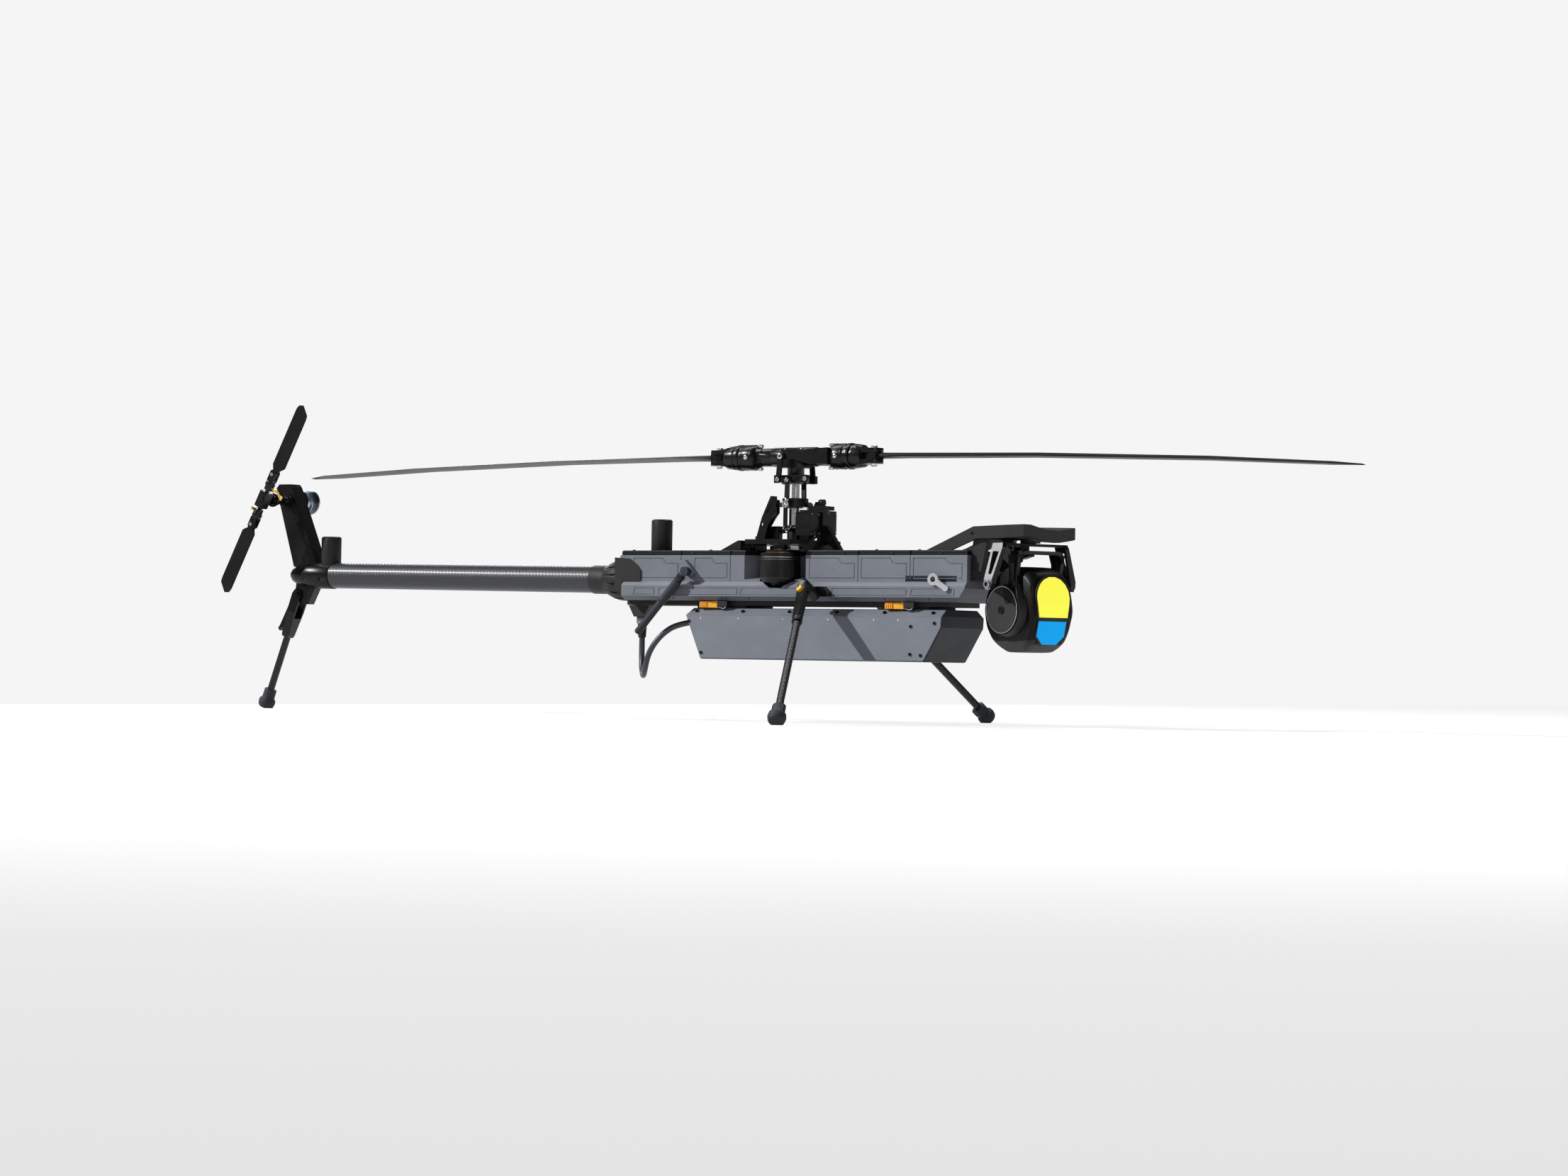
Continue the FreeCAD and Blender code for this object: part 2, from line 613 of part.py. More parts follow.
def swashplate_inner():
    centre = D["swash_z"]
    race = rod((0, 0, centre + 4), (0, 0, 1), 20, 6)
    sleeve = rod((0, 0, centre - 5), (0, 0, 1), 12, 15)
    bore = rod((0, 0, centre - 20), (0, 0, 1), D["mast_rad"] + D["run_fit"], 40)
    arms = []
    for side in (-1, 1):
        arms.append(strut((side * 4, side * 14, 339), (-side * 0.6, side * 26, 339), 2.4))
        arms.append(ball((-side * 0.6, side * 26, 339), 3.4))
    node(cut(join(race, sleeve, *arms), bore), "swashplate_inner")


def pitch_links():
    links = []
    for side in (-1, 1):
        foot = (-side * 0.6, side * 26, 342.35)
        shoulder = (-side * 4.4, side * 31, 369)
        knee = (side * 11, side * 33, 370)
        head = (side * 8, side * 33, 401)
        eye = cut(rod((side * 8, side * 33 - 2, D["hub_z"]), (0, 1, 0), 5.8, 4),
                  rod((side * 8, side * 33 - 8, D["hub_z"]), (0, 1, 0), 4, 16))
        joints = [rod((x, side * 28.5, z), (0, side, 0), 5, length)
                  for x, z, length in ((shoulder[0], 369, 6), (knee[0], 370, 8))]
        cross = bar(shoulder, knee, 6, 3.4)
        links.append(join(bar(foot, shoulder, 7, 4), cross, bar(knee, head, 8, 4), eye, *joints))
    node(group(*links), "pitch_links")


def rotor_hub():
    z = D["hub_z"]
    tube = rod((-38, 0, z), (1, 0, 0), 15, 76)
    block = slab("XY", [(-20, -12), (-12, -18), (12, -18), (20, -12), (20, 12), (12, 18), (-12, 18),
                        (-20, 12)], z - 17, z + 11.5)
    neck = rod((0, 0, 378), (0, 0, 1), 13, 20)
    driver = join(rod((0, 0, 364), (0, 0, 1), 11, 14), box(-7, 7, -22, 22, 365.5, 376.5))
    rails = []
    for side in (-1, 1):
        far, near = sorted((side * 24, -side * 36))
        low, high = sorted((side * 18, side * 25))
        start, end = sorted((-side * 4, -side * 25))
        rail = cut(box(far, near, low, high, 365, 377), box(start, end, low - 1, high + 1, 368, 374))
        rails.append(join(rail, rod((-side * 33, side * 25, 371), (0, side, 0), 6.3, 3)))
    bore = rod((0, 0, 350), (0, 0, 1), D["mast_rad"], 50)
    node(cut(join(tube, block, neck, driver, *rails), bore), "rotor_hub")


def blade_grip(label, turn):
    sleeve = rod((38.4, 0, 0), (1, 0, 0), 14, 20)
    flats = slab("YZ", [(-13, -9), (-9, -13), (9, -13), (13, -9), (13, 9), (9, 13), (-9, 13), (-13, 9)],
                 57, 78)
    housing = turned("XZ", "H_Axis", [(66, 0), (66, 15.5), (69, 19), (72, 19.8), (90, 19.8), (91, 18.6),
                                      (95, 18.6), (96, 20.2), (102, 20.2), (102.8, 17.8), (105, 17.8),
                                      (106, 19), (114, 18.2), (122, 17), (124, 0)])
    side = slab("XZ", [(114, -15), (130, -12), (152, -12), (154, -10), (154, 10), (152, 12), (130, 12),
                       (114, 15)], -14, 14)
    plan = join(box(113, D["grip_bolt"], -14, 14, -16, 16), rod((D["grip_bolt"], 0, -16), (0, 0, 1), 14, 32))
    ears = common(side, plan)
    slot = box(124.5, 160, -30, 30, -5.3, 5.3)
    bolts = []
    for x, radius, head in ((64, 2.6, 19), (D["grip_bolt"], 2.9, 14.5)):
        bolts.append(rod((x, 0, -head), (0, 0, 1), radius, 2 * head))
        bolts.append(rod((x, 0, head - 3.4), (0, 0, 1), radius + 2, 3.4))
        bolts.append(rod((x, 0, -head), (0, 0, 1), radius + 2, 3.4))
    arm_plan = slab("XY", [(58, -11), (70, -11), (70, -24), (24, -27), (-6, -29.5), (-6, -24), (14, -21.5),
                           (54, -18.5)], -14, 14)
    arm_side = slab("XZ", [(-6, -4.5), (12, -4.5), (38, -12), (70, -13), (70, 13), (36, 11), (12, 4.5),
                           (-6, 4.5)], -40, 0)
    arm = common(arm_plan, arm_side)
    stud = join(strut((-3, -27, 0), (-8, -31, 0), 1.6), ball((-8, -33, 0), 3))
    body = join(cut(join(sleeve, flats, housing, ears), slot), *bolts, arm, stud)
    node(body, label, 0, 0, D["hub_z"], FreeCAD.Rotation(Vector(0, 0, 1), turn))


AIRFOIL = ((-0.35, 0), (-0.33, 0.4), (-0.22, 0.8), (0, 1), (0.35, 0.6), (0.65, 0.08), (0.65, -0.08),
           (0.35, -0.6), (0, -1), (-0.22, -0.8), (-0.33, -0.4))


def blade_section(body, x, chord, thick, drop):
    outline = [(size(u) * chord, size(w) * thick / 2 - drop) for u, w in AIRFOIL]
    return outline_sketch(body, "YZ", outline, x)


def main_blade(label, turn):
    body = doc.addObject("PartDesign::Body", "Blade")
    chord, thick, droop = D["blade_chord"], D["blade_thick"], D["blade_droop"]
    stations = [(146, 0.32, 1.25, 0), (160, 0.48, 1.2, 0), (200, 1, 1.1, 0.01), (420, 1, 1, 0.12),
                (700, 0.96, 0.9, 0.48), (890, 0.9, 0.7, 0.89), (D["blade_tip"], 0.3, 0.3, 1)]
    sketches = [blade_section(body, x, chord * c, thick * t, droop * d) for x, c, t, d in stations]
    loft = body.newObject("PartDesign::AdditiveLoft", "Loft")
    loft.Profile = sketches[0]
    loft.Sections = sketches[1:]
    loft.Ruled = True
    body.Tip = loft
    bolt = D["grip_bolt"]
    root = join(rod((bolt, 0, -5), (0, 0, 1), 12.6, 10), box(bolt, 148, -12.6, 12.6, -5, 5))
    hole = rod((bolt, 0, -10), (0, 0, 1), 2.95, 20)
    node(cut(join(body, root), hole), label, 0, 0, D["hub_z"],
         FreeCAD.Rotation(Vector(0, 0, 1), turn))


# --------------------------------------------------------------- tail rotor

def tail_turn():
    return FreeCAD.Rotation(Vector(0, 1, 0), D["tail_lean"].value)


def tail_hub():
    y = D["tail_rotor_y"]
    shaft = rod((0, y - 6, 0), (0, 1, 0), D["tail_shaft"], 131)
    block = slab("XY", [(-8, y - 8), (8, y - 8), (8, y + 8), (-8, y + 8)], -14, 14)
    spindle = rod((0, y, -17.6), (0, 0, 1), 3.5, 35.2)
    cap = rod((0, y - 9, 0), (0, 1, 0), 6, 3)
    node(join(shaft, block, spindle, cap), "tail_hub", D["tail_x"], 0, D["tail_z"], tail_turn())


def tail_motor_bell():
    profile = [(D["tail_shaft"], 48), (12, 48), (15, 50), (18, 50), (20.5, 47.5), (20.5, 27), (18.5, 26),
               (18.5, 18.5), (16, 18.5), (16, 45), (D["tail_shaft"], 45)]
    bell = turned("XY", "V_Axis", profile)
    bolt = rod((0, 47, 0), (0, 1, 0), 6, 7)
    bore = rod((0, 40, 0), (0, 1, 0), D["tail_shaft"], 10)
    node(cut(join(bell, bolt), bore), "tail_motor_bell", D["tail_x"], 0, D["tail_z"], tail_turn())


def tail_slider():
    y = D["tail_rotor_y"]
    sleeve = rod((0, y + 18, 0), (0, 1, 0), 9, 14)
    collar = rod((0, y + 22, 0), (0, 1, 0), 11.5, 3)
    bore = rod((0, y + 6, 0), (0, 1, 0), D["tail_shaft"] + D["run_fit"], 40)
    links = []
    for side in (-1, 1):
        low, high = sorted((side * 8, side * 15))
        links.append(box(low, high, y + 19, y + 25, side * 10 - 3, side * 10 + 3))
        links.append(strut((side * 13, y + 21, side * 10), (side * 13, y + 10, side * 20), 1.8))
    node(cut(join(sleeve, collar, *links), bore), "tail_slider", D["tail_x"], 0, D["tail_z"], tail_turn())


def tail_side(flip):
    """Turn a piece made for the upper blade to the upper or lower side."""
    return tail_turn().multiply(FreeCAD.Rotation(Vector(0, 1, 0), 180 * flip))


def tail_grip(label, flip):
    y = D["tail_rotor_y"]
    sleeve = rod((0, y, 18), (0, 0, 1), 7, 16)
    ring = rod((0, y, 26), (0, 0, 1), 8.4, 5)
    ears = slab("XZ", [(-6.5, 33), (6.5, 33), (6.5, 50), (4, 53), (-4, 53), (-6.5, 50)], y - 5.5, y + 5.5)
    slot = box(-20, 20, y - 2.3, y + 2.3, 37, 60)
    bolt = join(rod((0, y - 8, 46), (0, 1, 0), 1.9, 16), rod((0, y - 8, 46), (0, 1, 0), 3, 2.4),
                rod((0, y + 5.6, 46), (0, 1, 0), 3, 2.4))
    arm = join(box(5, 14.6, y - 3, y + 3, 20, 25), rod((13, y + 2, 22.5), (0, 1, 0), 2.4, 4.2))
    node(join(cut(join(sleeve, ring, ears), slot), bolt, arm), label, D["tail_x"], 0, D["tail_z"],
         tail_side(flip))


def tail_blade(label, flip):
    y = D["tail_rotor_y"]
    tip = D["tail_tip"]
    side = [(-5.5, 41), (5.5, 41), (6, 54), (15, 64), (15, tip - 22), (13, tip - 12), (-2, tip),
            (-8, tip - 3), (-11, tip - 12), (-11, 62), (-6, 54)]
    body = slab("XZ", side, y - 1.9, y + 1.9)
    soften(body, "Chamfer", 0.9, lambda edge: edge.BoundBox.YLength < 0.01 and edge.Length > 60)
    hole = rod((0, y - 10, 46), (0, 1, 0), 1.95, 20)
    node(cut(body, hole), label, D["tail_x"], 0, D["tail_z"], tail_side(flip))


# ------------------------------------------------------------- landing legs

def leg_frame(side):
    """Turn that sets a leg drawn hanging straight down onto its real line."""
    run = Vector(D["foot_x"].value - D["leg_x"].value, side * (D["foot_y"].value - D["leg_y"].value),
                 D["foot_z"].value - D["leg_z"].value)
    up = -run
    up.normalize()
    face = Vector(-0.33, 0.734 * side, 0.587)
    across = face - up * face.dot(up)
    across.normalize()
    beside = up.cross(across)
    matrix = FreeCAD.Matrix(across.x, beside.x, up.x, 0, across.y, beside.y, up.y, 0,
                            across.z, beside.z, up.z, 0, 0, 0, 0, 1)
    return FreeCAD.Rotation(matrix), run.Length


def foot_solid(length, turn):
    """Rubber foot with its wide end centred at the leg's full length, flat where it stands."""
    down = turn.inverted().multVec(Vector(0, 0, -1))
    ground = Vector(0, 0, -length) + down * D["foot_z"].value
    radius = D["foot_rad"]
    top = D["foot_sleeve"] - length
    profile = [(0, -length - 11), (radius - 3.5, -length - 11), (radius - 1.2, -length - 8),
               (radius, -length - 2), (radius - 0.6, -length + 2.5), (11, -length + 5),
               (10.2, -length + 8), (10.2, top - 1), (9.2, top), (0, top)]
    rib = box(-3, 3, 8, 12, -length + 6, top - 2)
    return cut(join(turned("XZ", "V_Axis", profile), rib), rod(ground, down, 30, 12))


def leg_tube_solid(length):
    start = D["foot_sleeve"] - 14
    return rod((0, 0, start - length), (0, 0, 1), D["leg_tube"], length - start - D["arm_length"] + 8)


def front_leg(side, name):
    turn, length = leg_frame(side)
    x, y, z = D["leg_x"], side * D["leg_y"], D["leg_z"]
    end = -D["arm_length"] + 8
    shank = slab("YZ", [(-8.6, 0), (8.6, 0), (8.2, -22), (6.2, end), (-6.2, end), (-8.2, -22)], -4.5, 6)
    head = rod((-10.5, 0, 0), (1, 0, 0), 9.5, 16.5)
    ferrule = rod((0, 0, -D["arm_length"]), (0, 0, 1), 7.6, 10)
    pivot = rod((-24, 0, 0), (1, 0, 0), 3.5, 29)
    nut = cut(rod((5, 0, 0), (1, 0, 0), 5.2, 1.8), rod((5.4, 0, 0), (1, 0, 0), 3, 3))
    seat = rod((2, 0, -15), (1, 0, 0), 5.4, 6)
    sock = rod((0, 0, -D["arm_length"] - 1), (0, 0, 1), D["leg_tube"], 9)
    node(cut(join(shank, head, ferrule, pivot, nut), seat, sock), f"{name}_leg_arm", x, y, z, turn)
    node(leg_tube_solid(length), f"{name}_leg_tube", x, y, z, turn)
    foot = carried(foot_solid(length, turn), x, y, z, turn)
    bore = carried(leg_tube_solid(length), x, y, z, turn)
    ground = box(-2000, 2000, -500, 500, -60, 0)
    node(cut(foot, ground, bore), f"{name}_foot")
    node(rod((4.4, 0, -15), (1, 0, 0), 5, 5.6), f"{name}_leg_button", x, y, z, turn)


def leg_lug(side):
    """Bracket on the belly tub that carries a front leg's pivot."""
    turn, length = leg_frame(side)
    x, y, z = D["leg_x"], side * D["leg_y"], D["leg_z"]
    low, high = sorted((side * 64.65, side * 77))
    block = slab("XZ", [(76, 198), (83, 205.5), (97, 205.5), (106, 197), (106, 190.6), (76, 190.6)],
                 low, high)
    knuckle = carried(rod((-27, 0, 0), (1, 0, 0), 9, 16.1), x, y, z, turn)
    sweep = carried(rod((-10.9, 0, 0), (1, 0, 0), 17, 60), x, y, z, turn)
    bore = carried(rod((-24.5, 0, 0), (1, 0, 0), 3.55, 70), x, y, z, turn)
    rail = box(-100, 200, -64.64, 64.64, 150, 240)
    bolt = rod((97.5, side * 77, 198), (0, side, 0), 3.4, 1.6)
    return cut(join(block, knuckle, bolt), sweep, bore, rail)


def leg_brackets():
    tail = slab("XZ", [(-966, 212), (-924, 212), (-926, 202), (-941, 174), (-953, 174), (-970, 184)], -8, 8)
    bore = rod((D["tail_leg_x"], -20, D["tail_leg_z"]), (0, 1, 0), 3.05, 40)
    boom = rod((-925, 0, 222.35), (1, 0, -0.0101), D["boom_rad"] + 0.05, 60)
    node(group(leg_lug(-1), leg_lug(1), cut(tail, boot_solid(), boom, bore)), "leg_brackets")


def tail_leg():
    run = Vector(D["tail_foot_x"].value - D["tail_leg_x"].value, 0,
                 D["foot_z"].value - D["tail_leg_z"].value)
    turn = FreeCAD.Rotation(Vector(0, 0, -1), run)
    length = run.Length
    place = (D["tail_leg_x"], 0, D["tail_leg_z"])
    reach = D["arm_length"] - 13
    side = slab("XZ", [(-9, 0), (-6, 8), (6, 8), (9, 0), (8, -reach + 4), (6.5, -reach), (-6.5, -reach),
                       (-8, -reach + 4)], -12, 12)
    front = slab("YZ", [(-12, 10), (12, 10), (12, -30), (6.8, -reach), (-6.8, -reach), (-12, -30)], -20, 20)
    shank = common(side, front)
    channel = slab("XZ", [(-6, 20), (20, 20), (20, -40), (-4, -40), (-5.5, -26), (-20, -18), (-20, 20)],
                   -8.6, 8.6)
    pin = rod((0, -14, 0), (0, 1, 0), 3, 28)
    heads = [rod((0, side * 12 - 2 + side * 1, 0), (0, 1, 0), 5, 4) for side in (-1, 1)]
    sock = rod((0, 0, -reach - 1), (0, 0, 1), D["leg_tube"], 13)
    node(cut(join(cut(shank, channel), pin, *heads), sock), "tail_leg_arm", *place, turn)
    start = D["foot_sleeve"] - 14
    tube = rod((0, 0, start - length), (0, 0, 1), D["leg_tube"], length - start - reach + 12)
    node(tube, "tail_leg_tube", *place, turn)
    ground = box(-2000, 2000, -500, 500, -60, 0)
    foot = carried(foot_solid(length, turn), *place, turn)
    bore = carried(rod((0, 0, start - length), (0, 0, 1), D["leg_tube"], 60), *place, turn)
    node(cut(foot, ground, bore), "tail_foot")
    blade = slab("XZ", [(-9.8, -18), (-13, -18), (-18.5, -60), (-20.5, -67), (-16, -70), (-14, -64)], -5, 5)
    teeth = [box(-23, -17.6 - 0.5 * step, -6, 6, -52 - 4 * step, -50.6 - 4 * step) for step in range(4)]
    hinge = rod((-11.4, -6, -20), (0, 1, 0), 1.6, 12)
    node(join(cut(blade, *teeth), hinge), "tail_leg_lever", *place, turn)


# -------------------------------------------------------------- battery case

def case_side(back_shift, front_shift):
    """Side view of the case, with both raked ends moved by a given amount."""
    return [(-128 + back_shift, D["case_bottom"]), (267 - front_shift, D["case_bottom"]),
            (297 - front_shift, 145.5), (298 - front_shift, 162), (296.6 - front_shift, D["case_top"]),
            (-153 + back_shift, D["case_top"]), (-156 + back_shift, 162)]


def case_profile(inset):
    half = D["case_half"] - inset
    right = [(half - 2, D["case_bottom"] + inset), (half, D["case_bottom"] + 2 + inset),
             (half, D["case_edge"] - inset / 2), (D["flange_half"] - inset / 2, D["case_top"] - inset)]
    return right + [(-y, z) for y, z in reversed(right)]


def battery_case():
    body = common(slab("YZ", case_profile(size(0)), -170, 310), slab("XZ", case_side(0, 3), -80, 80))
    room = common(slab("YZ", case_profile(size(2.5)), -170, 310), slab("XZ", case_side(5, 3), -80, 80))
    line = [slab("XY", [(-170, side * 66), (310, side * 66), (310, side * 62.6), (-170, side * 62.6)],
                 160.2, 161.2) for side in (-1, 1)]
    node(cut(body, room, *line), "battery_case")


def battery_cover():
    ring = slab("YZ", case_profile(size(0)), 240, 310)
    outer = slab("XZ", case_side(0, 0), -80, 80)
    inner = slab("XZ", case_side(0, 3), -81, 81)
    plate = common(ring, cut(outer, inner))
    node(plate, "battery_cover")


def battery_cells():
    cells = []
    for column in range(4):
        for row in (-1, 1):
            x = -108 + column * 88
            low, high = sorted((row * 1, row * 56))
            cells.append(box(x, x + 84, low, high, 98, 150))
    node(group(*cells), "battery_cells")


def cap_screw(place, direction, radius=2.8, height=2.2):
    head = rod(place, direction, radius, height)
    socket = doc.addObject("Part::Prism", "Socket")
    socket.Polygon = 6
    bind(socket, "Circumradius", radius * 0.55)
    bind(socket, "Height", height)
    lift = Vector(*direction)
    lift.normalize()
    mouth = numbers(place) + lift * (height * 0.4)
    at(socket, *mouth, toward(direction))
    return cut(head, socket)


def cap_screws():
    screws = []
    for side in (-1, 1):
        for step in range(6):
            slope = (0, side * 0.524, 0.852)
            screws.append(cap_screw((-141 + 83.6 * step, side * 54.2, 166.6), slope))
        for x, z in ((243.5, 147), (243, 105.5), (284, 152), (261, 104), (-150, 152), (-127, 104)):
            screws.append(cap_screw((x, side * D["case_half"].value, z), (0, side, 0), 2.4, 1.4))
        for x in (-262, -206, -120, 96, 176, 250, 326):
            screws.append(cap_screw((x, side * 51, D["lid_top"].value), (0, 0, 1), 2.2, 1.2))
    node(group(*screws), "cap_screws")


def payload_latch(label, x):
    lever = slab("XY", [(0, -6), (0, -0.6), (-32, -0.6), (-32, -6.6), (-29, -8)], -5, 4.4)
    ribs = [box(-30 + 3.4 * i, -28.6 + 3.4 * i, -9, -6.6, -4, 3.4) for i in range(4)]
    pin = rod((-3, -3.4, -5.4), (0, 0, 1), 2.2, 10.6)
    node(join(lever, *ribs, pin), label, x, -47.4, 178)


# -------------------------------------------------- cable, antenna and lever

CABLE_ROUTE = (
    (-272, -10, 126), (-272, -10, 104), (-268, -16, 83), (-257, -29, 68), (-244, -46, 66), (-232, -60, 78),
    (-224, -65, 98), (-213, -64, 117), (-199, -58, 134), (-184, -46, 146), (-164, -38, 150),
)
CABLE_DIAMETER = 9


def cable_path(route):
    """Straight runs joined by tangent arcs, and the radius of every arc."""
    points = [Vector(*point) for point in route]
    edges, radii, start = [], [], points[0]
    for before, corner, after in zip(points, points[1:], points[2:]):
        back, ahead = (before - corner), (after - corner)
        shorter = min(back.Length, ahead.Length)
        back.normalize()
        ahead.normalize()
        turn = math.pi - back.getAngle(ahead)
        reach = 0.45 * shorter
        radius = reach / math.tan(turn / 2)
        radii.append(radius)
        entry, leave = corner + back * reach, corner + ahead * reach
        middle = (back + ahead)
        middle.normalize()
        crown = corner + middle * (radius / math.cos(turn / 2) - radius)
        edges.append(Part.LineSegment(start, entry).toShape())
        edges.append(Part.Arc(entry, crown, leave).toShape())
        start = leave
    edges.append(Part.LineSegment(start, points[-1]).toShape())
    return Part.Wire(edges), radii


def power_cable():
    path, radii = cable_path(CABLE_ROUTE)
    start = Vector(*CABLE_ROUTE[0])
    heading = Vector(*CABLE_ROUTE[1]) - start
    ring = Part.Wire([Part.makeCircle(CABLE_DIAMETER / 2, start, heading)])
    tube = path.makePipeShell([ring], True, True)
    solid = tube if tube.ShapeType == "Solid" else Part.Solid(tube)
    expected = math.pi * CABLE_DIAMETER ** 2 / 4 * path.Length
    print("cable length", round(path.Length, 1), "radii", [round(radius, 1) for radius in radii],
          "volume ratio", round(solid.Volume / expected, 4))
    feature = doc.addObject("Part::Feature", "Cable")
    feature.Shape = solid
    node(feature, "power_cable")


def cable_ends():
    start = Vector(*CABLE_ROUTE[0])
    bracket = slab("XZ", [(-289, 176.5), (-249, 176.5), (-262, 158.4), (-279, 158.4)], -24, 4)
    tail = rod((start.x, start.y, 160), (0, 0, -1), 9, 12)
    plug = cone((start.x, start.y, 150), (0, 0, -1), 7.5, 6, 150 - start.z)
    hang = box(-289, -277, -24, 4, D["keel_bottom"], D["tub_bottom"])
    socket = cut(join(bracket, tail, plug), hang)
    end = Vector(*CABLE_ROUTE[-1])
    way = end - Vector(*CABLE_ROUTE[-2])
    gland = cut(at(cone((0, 0, 0), (0, 0, 1), 6.2, 9.5, 14), *end, toward(tuple(way))), case_block())
    node(group(socket, gland), "cable_ends")


def case_block():
    return common(slab("YZ", case_profile(size(0)), -170, 310), slab("XZ", case_side(0, 0), -80, 80))


def whip_antenna():
    """Folding whip, drawn along +X from its swivel."""
    knuckle = rod((0, -4, 0), (0, 1, 0), 7, 8)
    neck = rod((0, 0, 0), (1, 0, 0), 4.5, 22)
    nut = rod((9, 0, 0), (1, 0, 0), 6.4, 7)
    upper = rod((19, 0, 0), (1, 0, 0), 6.5, 43)
    shoulder = cone((62, 0, 0), (1, 0, 0), 6.5, 5.7, 2)
    lower = rod((64, 0, 0), (1, 0, 0), 5.7, 63)
    tip = cone((127, 0, 0), (1, 0, 0), 5.7, 4.6, 2)
    turn = FreeCAD.Rotation(Vector(1, 0, 0), Vector(-0.675, 0, -0.738))
    node(join(knuckle, neck, nut, upper, shoulder, lower, tip), "whip_antenna", -152, -73.4, 228, turn)


def release_lever():
    """Pull lever with a ring, drawn along +Z from its hinge."""
    reach = 25
    ring = rod((0, -1.6, reach), (0, 1, 0), 9, 3.2)
    stem = slab("XZ", [(-4, 0), (4, 0), (4.5, reach - 8), (-4.5, reach - 8)], -1.6, 1.6)
    hub = rod((0, -1.6, 0), (0, 1, 0), 4.6, 3.6)
    hole = rod((0, -5, reach), (0, 1, 0), 4.2, 10)
    turn = FreeCAD.Rotation(Vector(0, 0, 1), Vector(-21.2, 0, 13.1))
    node(cut(join(ring, stem, hub), hole), "release_lever", 304.2, -67.2, 203.9, turn)


# ------------------------------------------------------------ camera gimbal

VISOR_SECTIONS = ((341, 52, 296, 296, 278), (395, 54, 298, 297, 278), (437, 74, 298, 291, 273),
                  (447, 70, 297.4, 291, 273))


def visor_section(body, x, half, rim, crown, belly):
    """One frame of the brow: high at the rims and lower in the middle."""
    rise = rim - crown
    right = [(half, rim), (half * 0.6, crown + rise * 0.45), (half * 0.27, crown + rise * 0.08)]
    foot = belly + rise
    under = [(half, foot), (half * 0.6, belly + rise * 0.45), (half * 0.27, belly + rise * 0.08)]
    outline = under[::-1] + right + [(-y, z) for y, z in right[::-1]] + [(-y, z) for y, z in under]
    return outline_sketch(body, "YZ", outline, x)


def nose_visor():
    roof = doc.addObject("PartDesign::Body", "Brow")
    sketches = [visor_section(roof, *section) for section in VISOR_SECTIONS]
    loft = roof.newObject("PartDesign::AdditiveLoft", "Loft")
    loft.Profile = sketches[0]
    loft.Sections = sketches[1:]
    loft.Ruled = True
    roof.Tip = loft
    hollow = slab("XZ", [(347, 270), (430, 270), (430, 284.5), (347, 290)], -45, 45)
    socket = rod((D["pan_x"], 0, 272.3), (0, 0, 1), 15, 16)
    struts = []
    for low in (-52, 46):
        struts.append(slab("XZ", [(262, D["lid_top"]), (304, D["lid_top"]), (346, 278), (346, 296),
                                  (341, 296)], low, low + 6))
    plate = box(D["shell_front"], D["shell_front"] + 4, -48, 48, 216, 250)
    posts = [slab("XZ", [(336, 232), (352, 229), (362, 279), (341, 292), (336, 262)], side - 5, side + 5)
             for side in (-41, 41)]
    bore = rod((D["pan_x"], 0, 262), (0, 0, 1), 8 + D["run_fit"], 24)
    node(cut(join(cut(roof, hollow), socket, plate, *struts, *posts), bore), "nose_visor")


def gimbal_place(obj, label):
    yaw = FreeCAD.Rotation(Vector(0, 0, 1), D["gimbal_yaw"].value)
    node(obj, label, D["pan_x"], 0, D["tilt_z"], yaw)


def pan_frame():
    """Frame that turns under the brow, with two slotted arms splayed outward."""
    beam = box(-10, 10, -62, 62, 94.6, 98.4)
    stem = rod((0, 0, 98), (0, 0, 1), 8, 11.5)
    arms = []
    for side in (-1, 1):
        line = [(side * 57, 98.4), (side * 57, 94.6), (side * 76, 29), (side * 82, 29), (side * 82, 44),
                (side * 63, 98.4)]
        edge = slab("YZ", line, -20, 20)
        face = slab("XZ", [(-11, 99), (11, 99), (13, 92), (9, 38), (5, 28), (-4, 28), (-8, 38), (-11, 92)],
                    -90, 90)
        slot = slab("XZ", [(-6, 86), (8, 86), (5, 52), (-2, 52)], -90, 90)
        boss = rod((0, side * 72, 37), (0, side, 0), 6.5, 12)
        arms += [cut(common(edge, face), slot), boss]
    lugs = [box(-30, -26, -7, 7, 80, 95), box(-14, -10, -7, 7, 84.6, 95)]
    bridge = box(-30, 10, -7, 7, 95.2, 98.4)
    bores = rod((-40, 0, D["roll_z"]), (1, 0, 0), 3 + D["run_fit"], 80)
    gimbal_place(cut(join(beam, bridge, stem, *arms, *lugs), bores), "pan_frame")


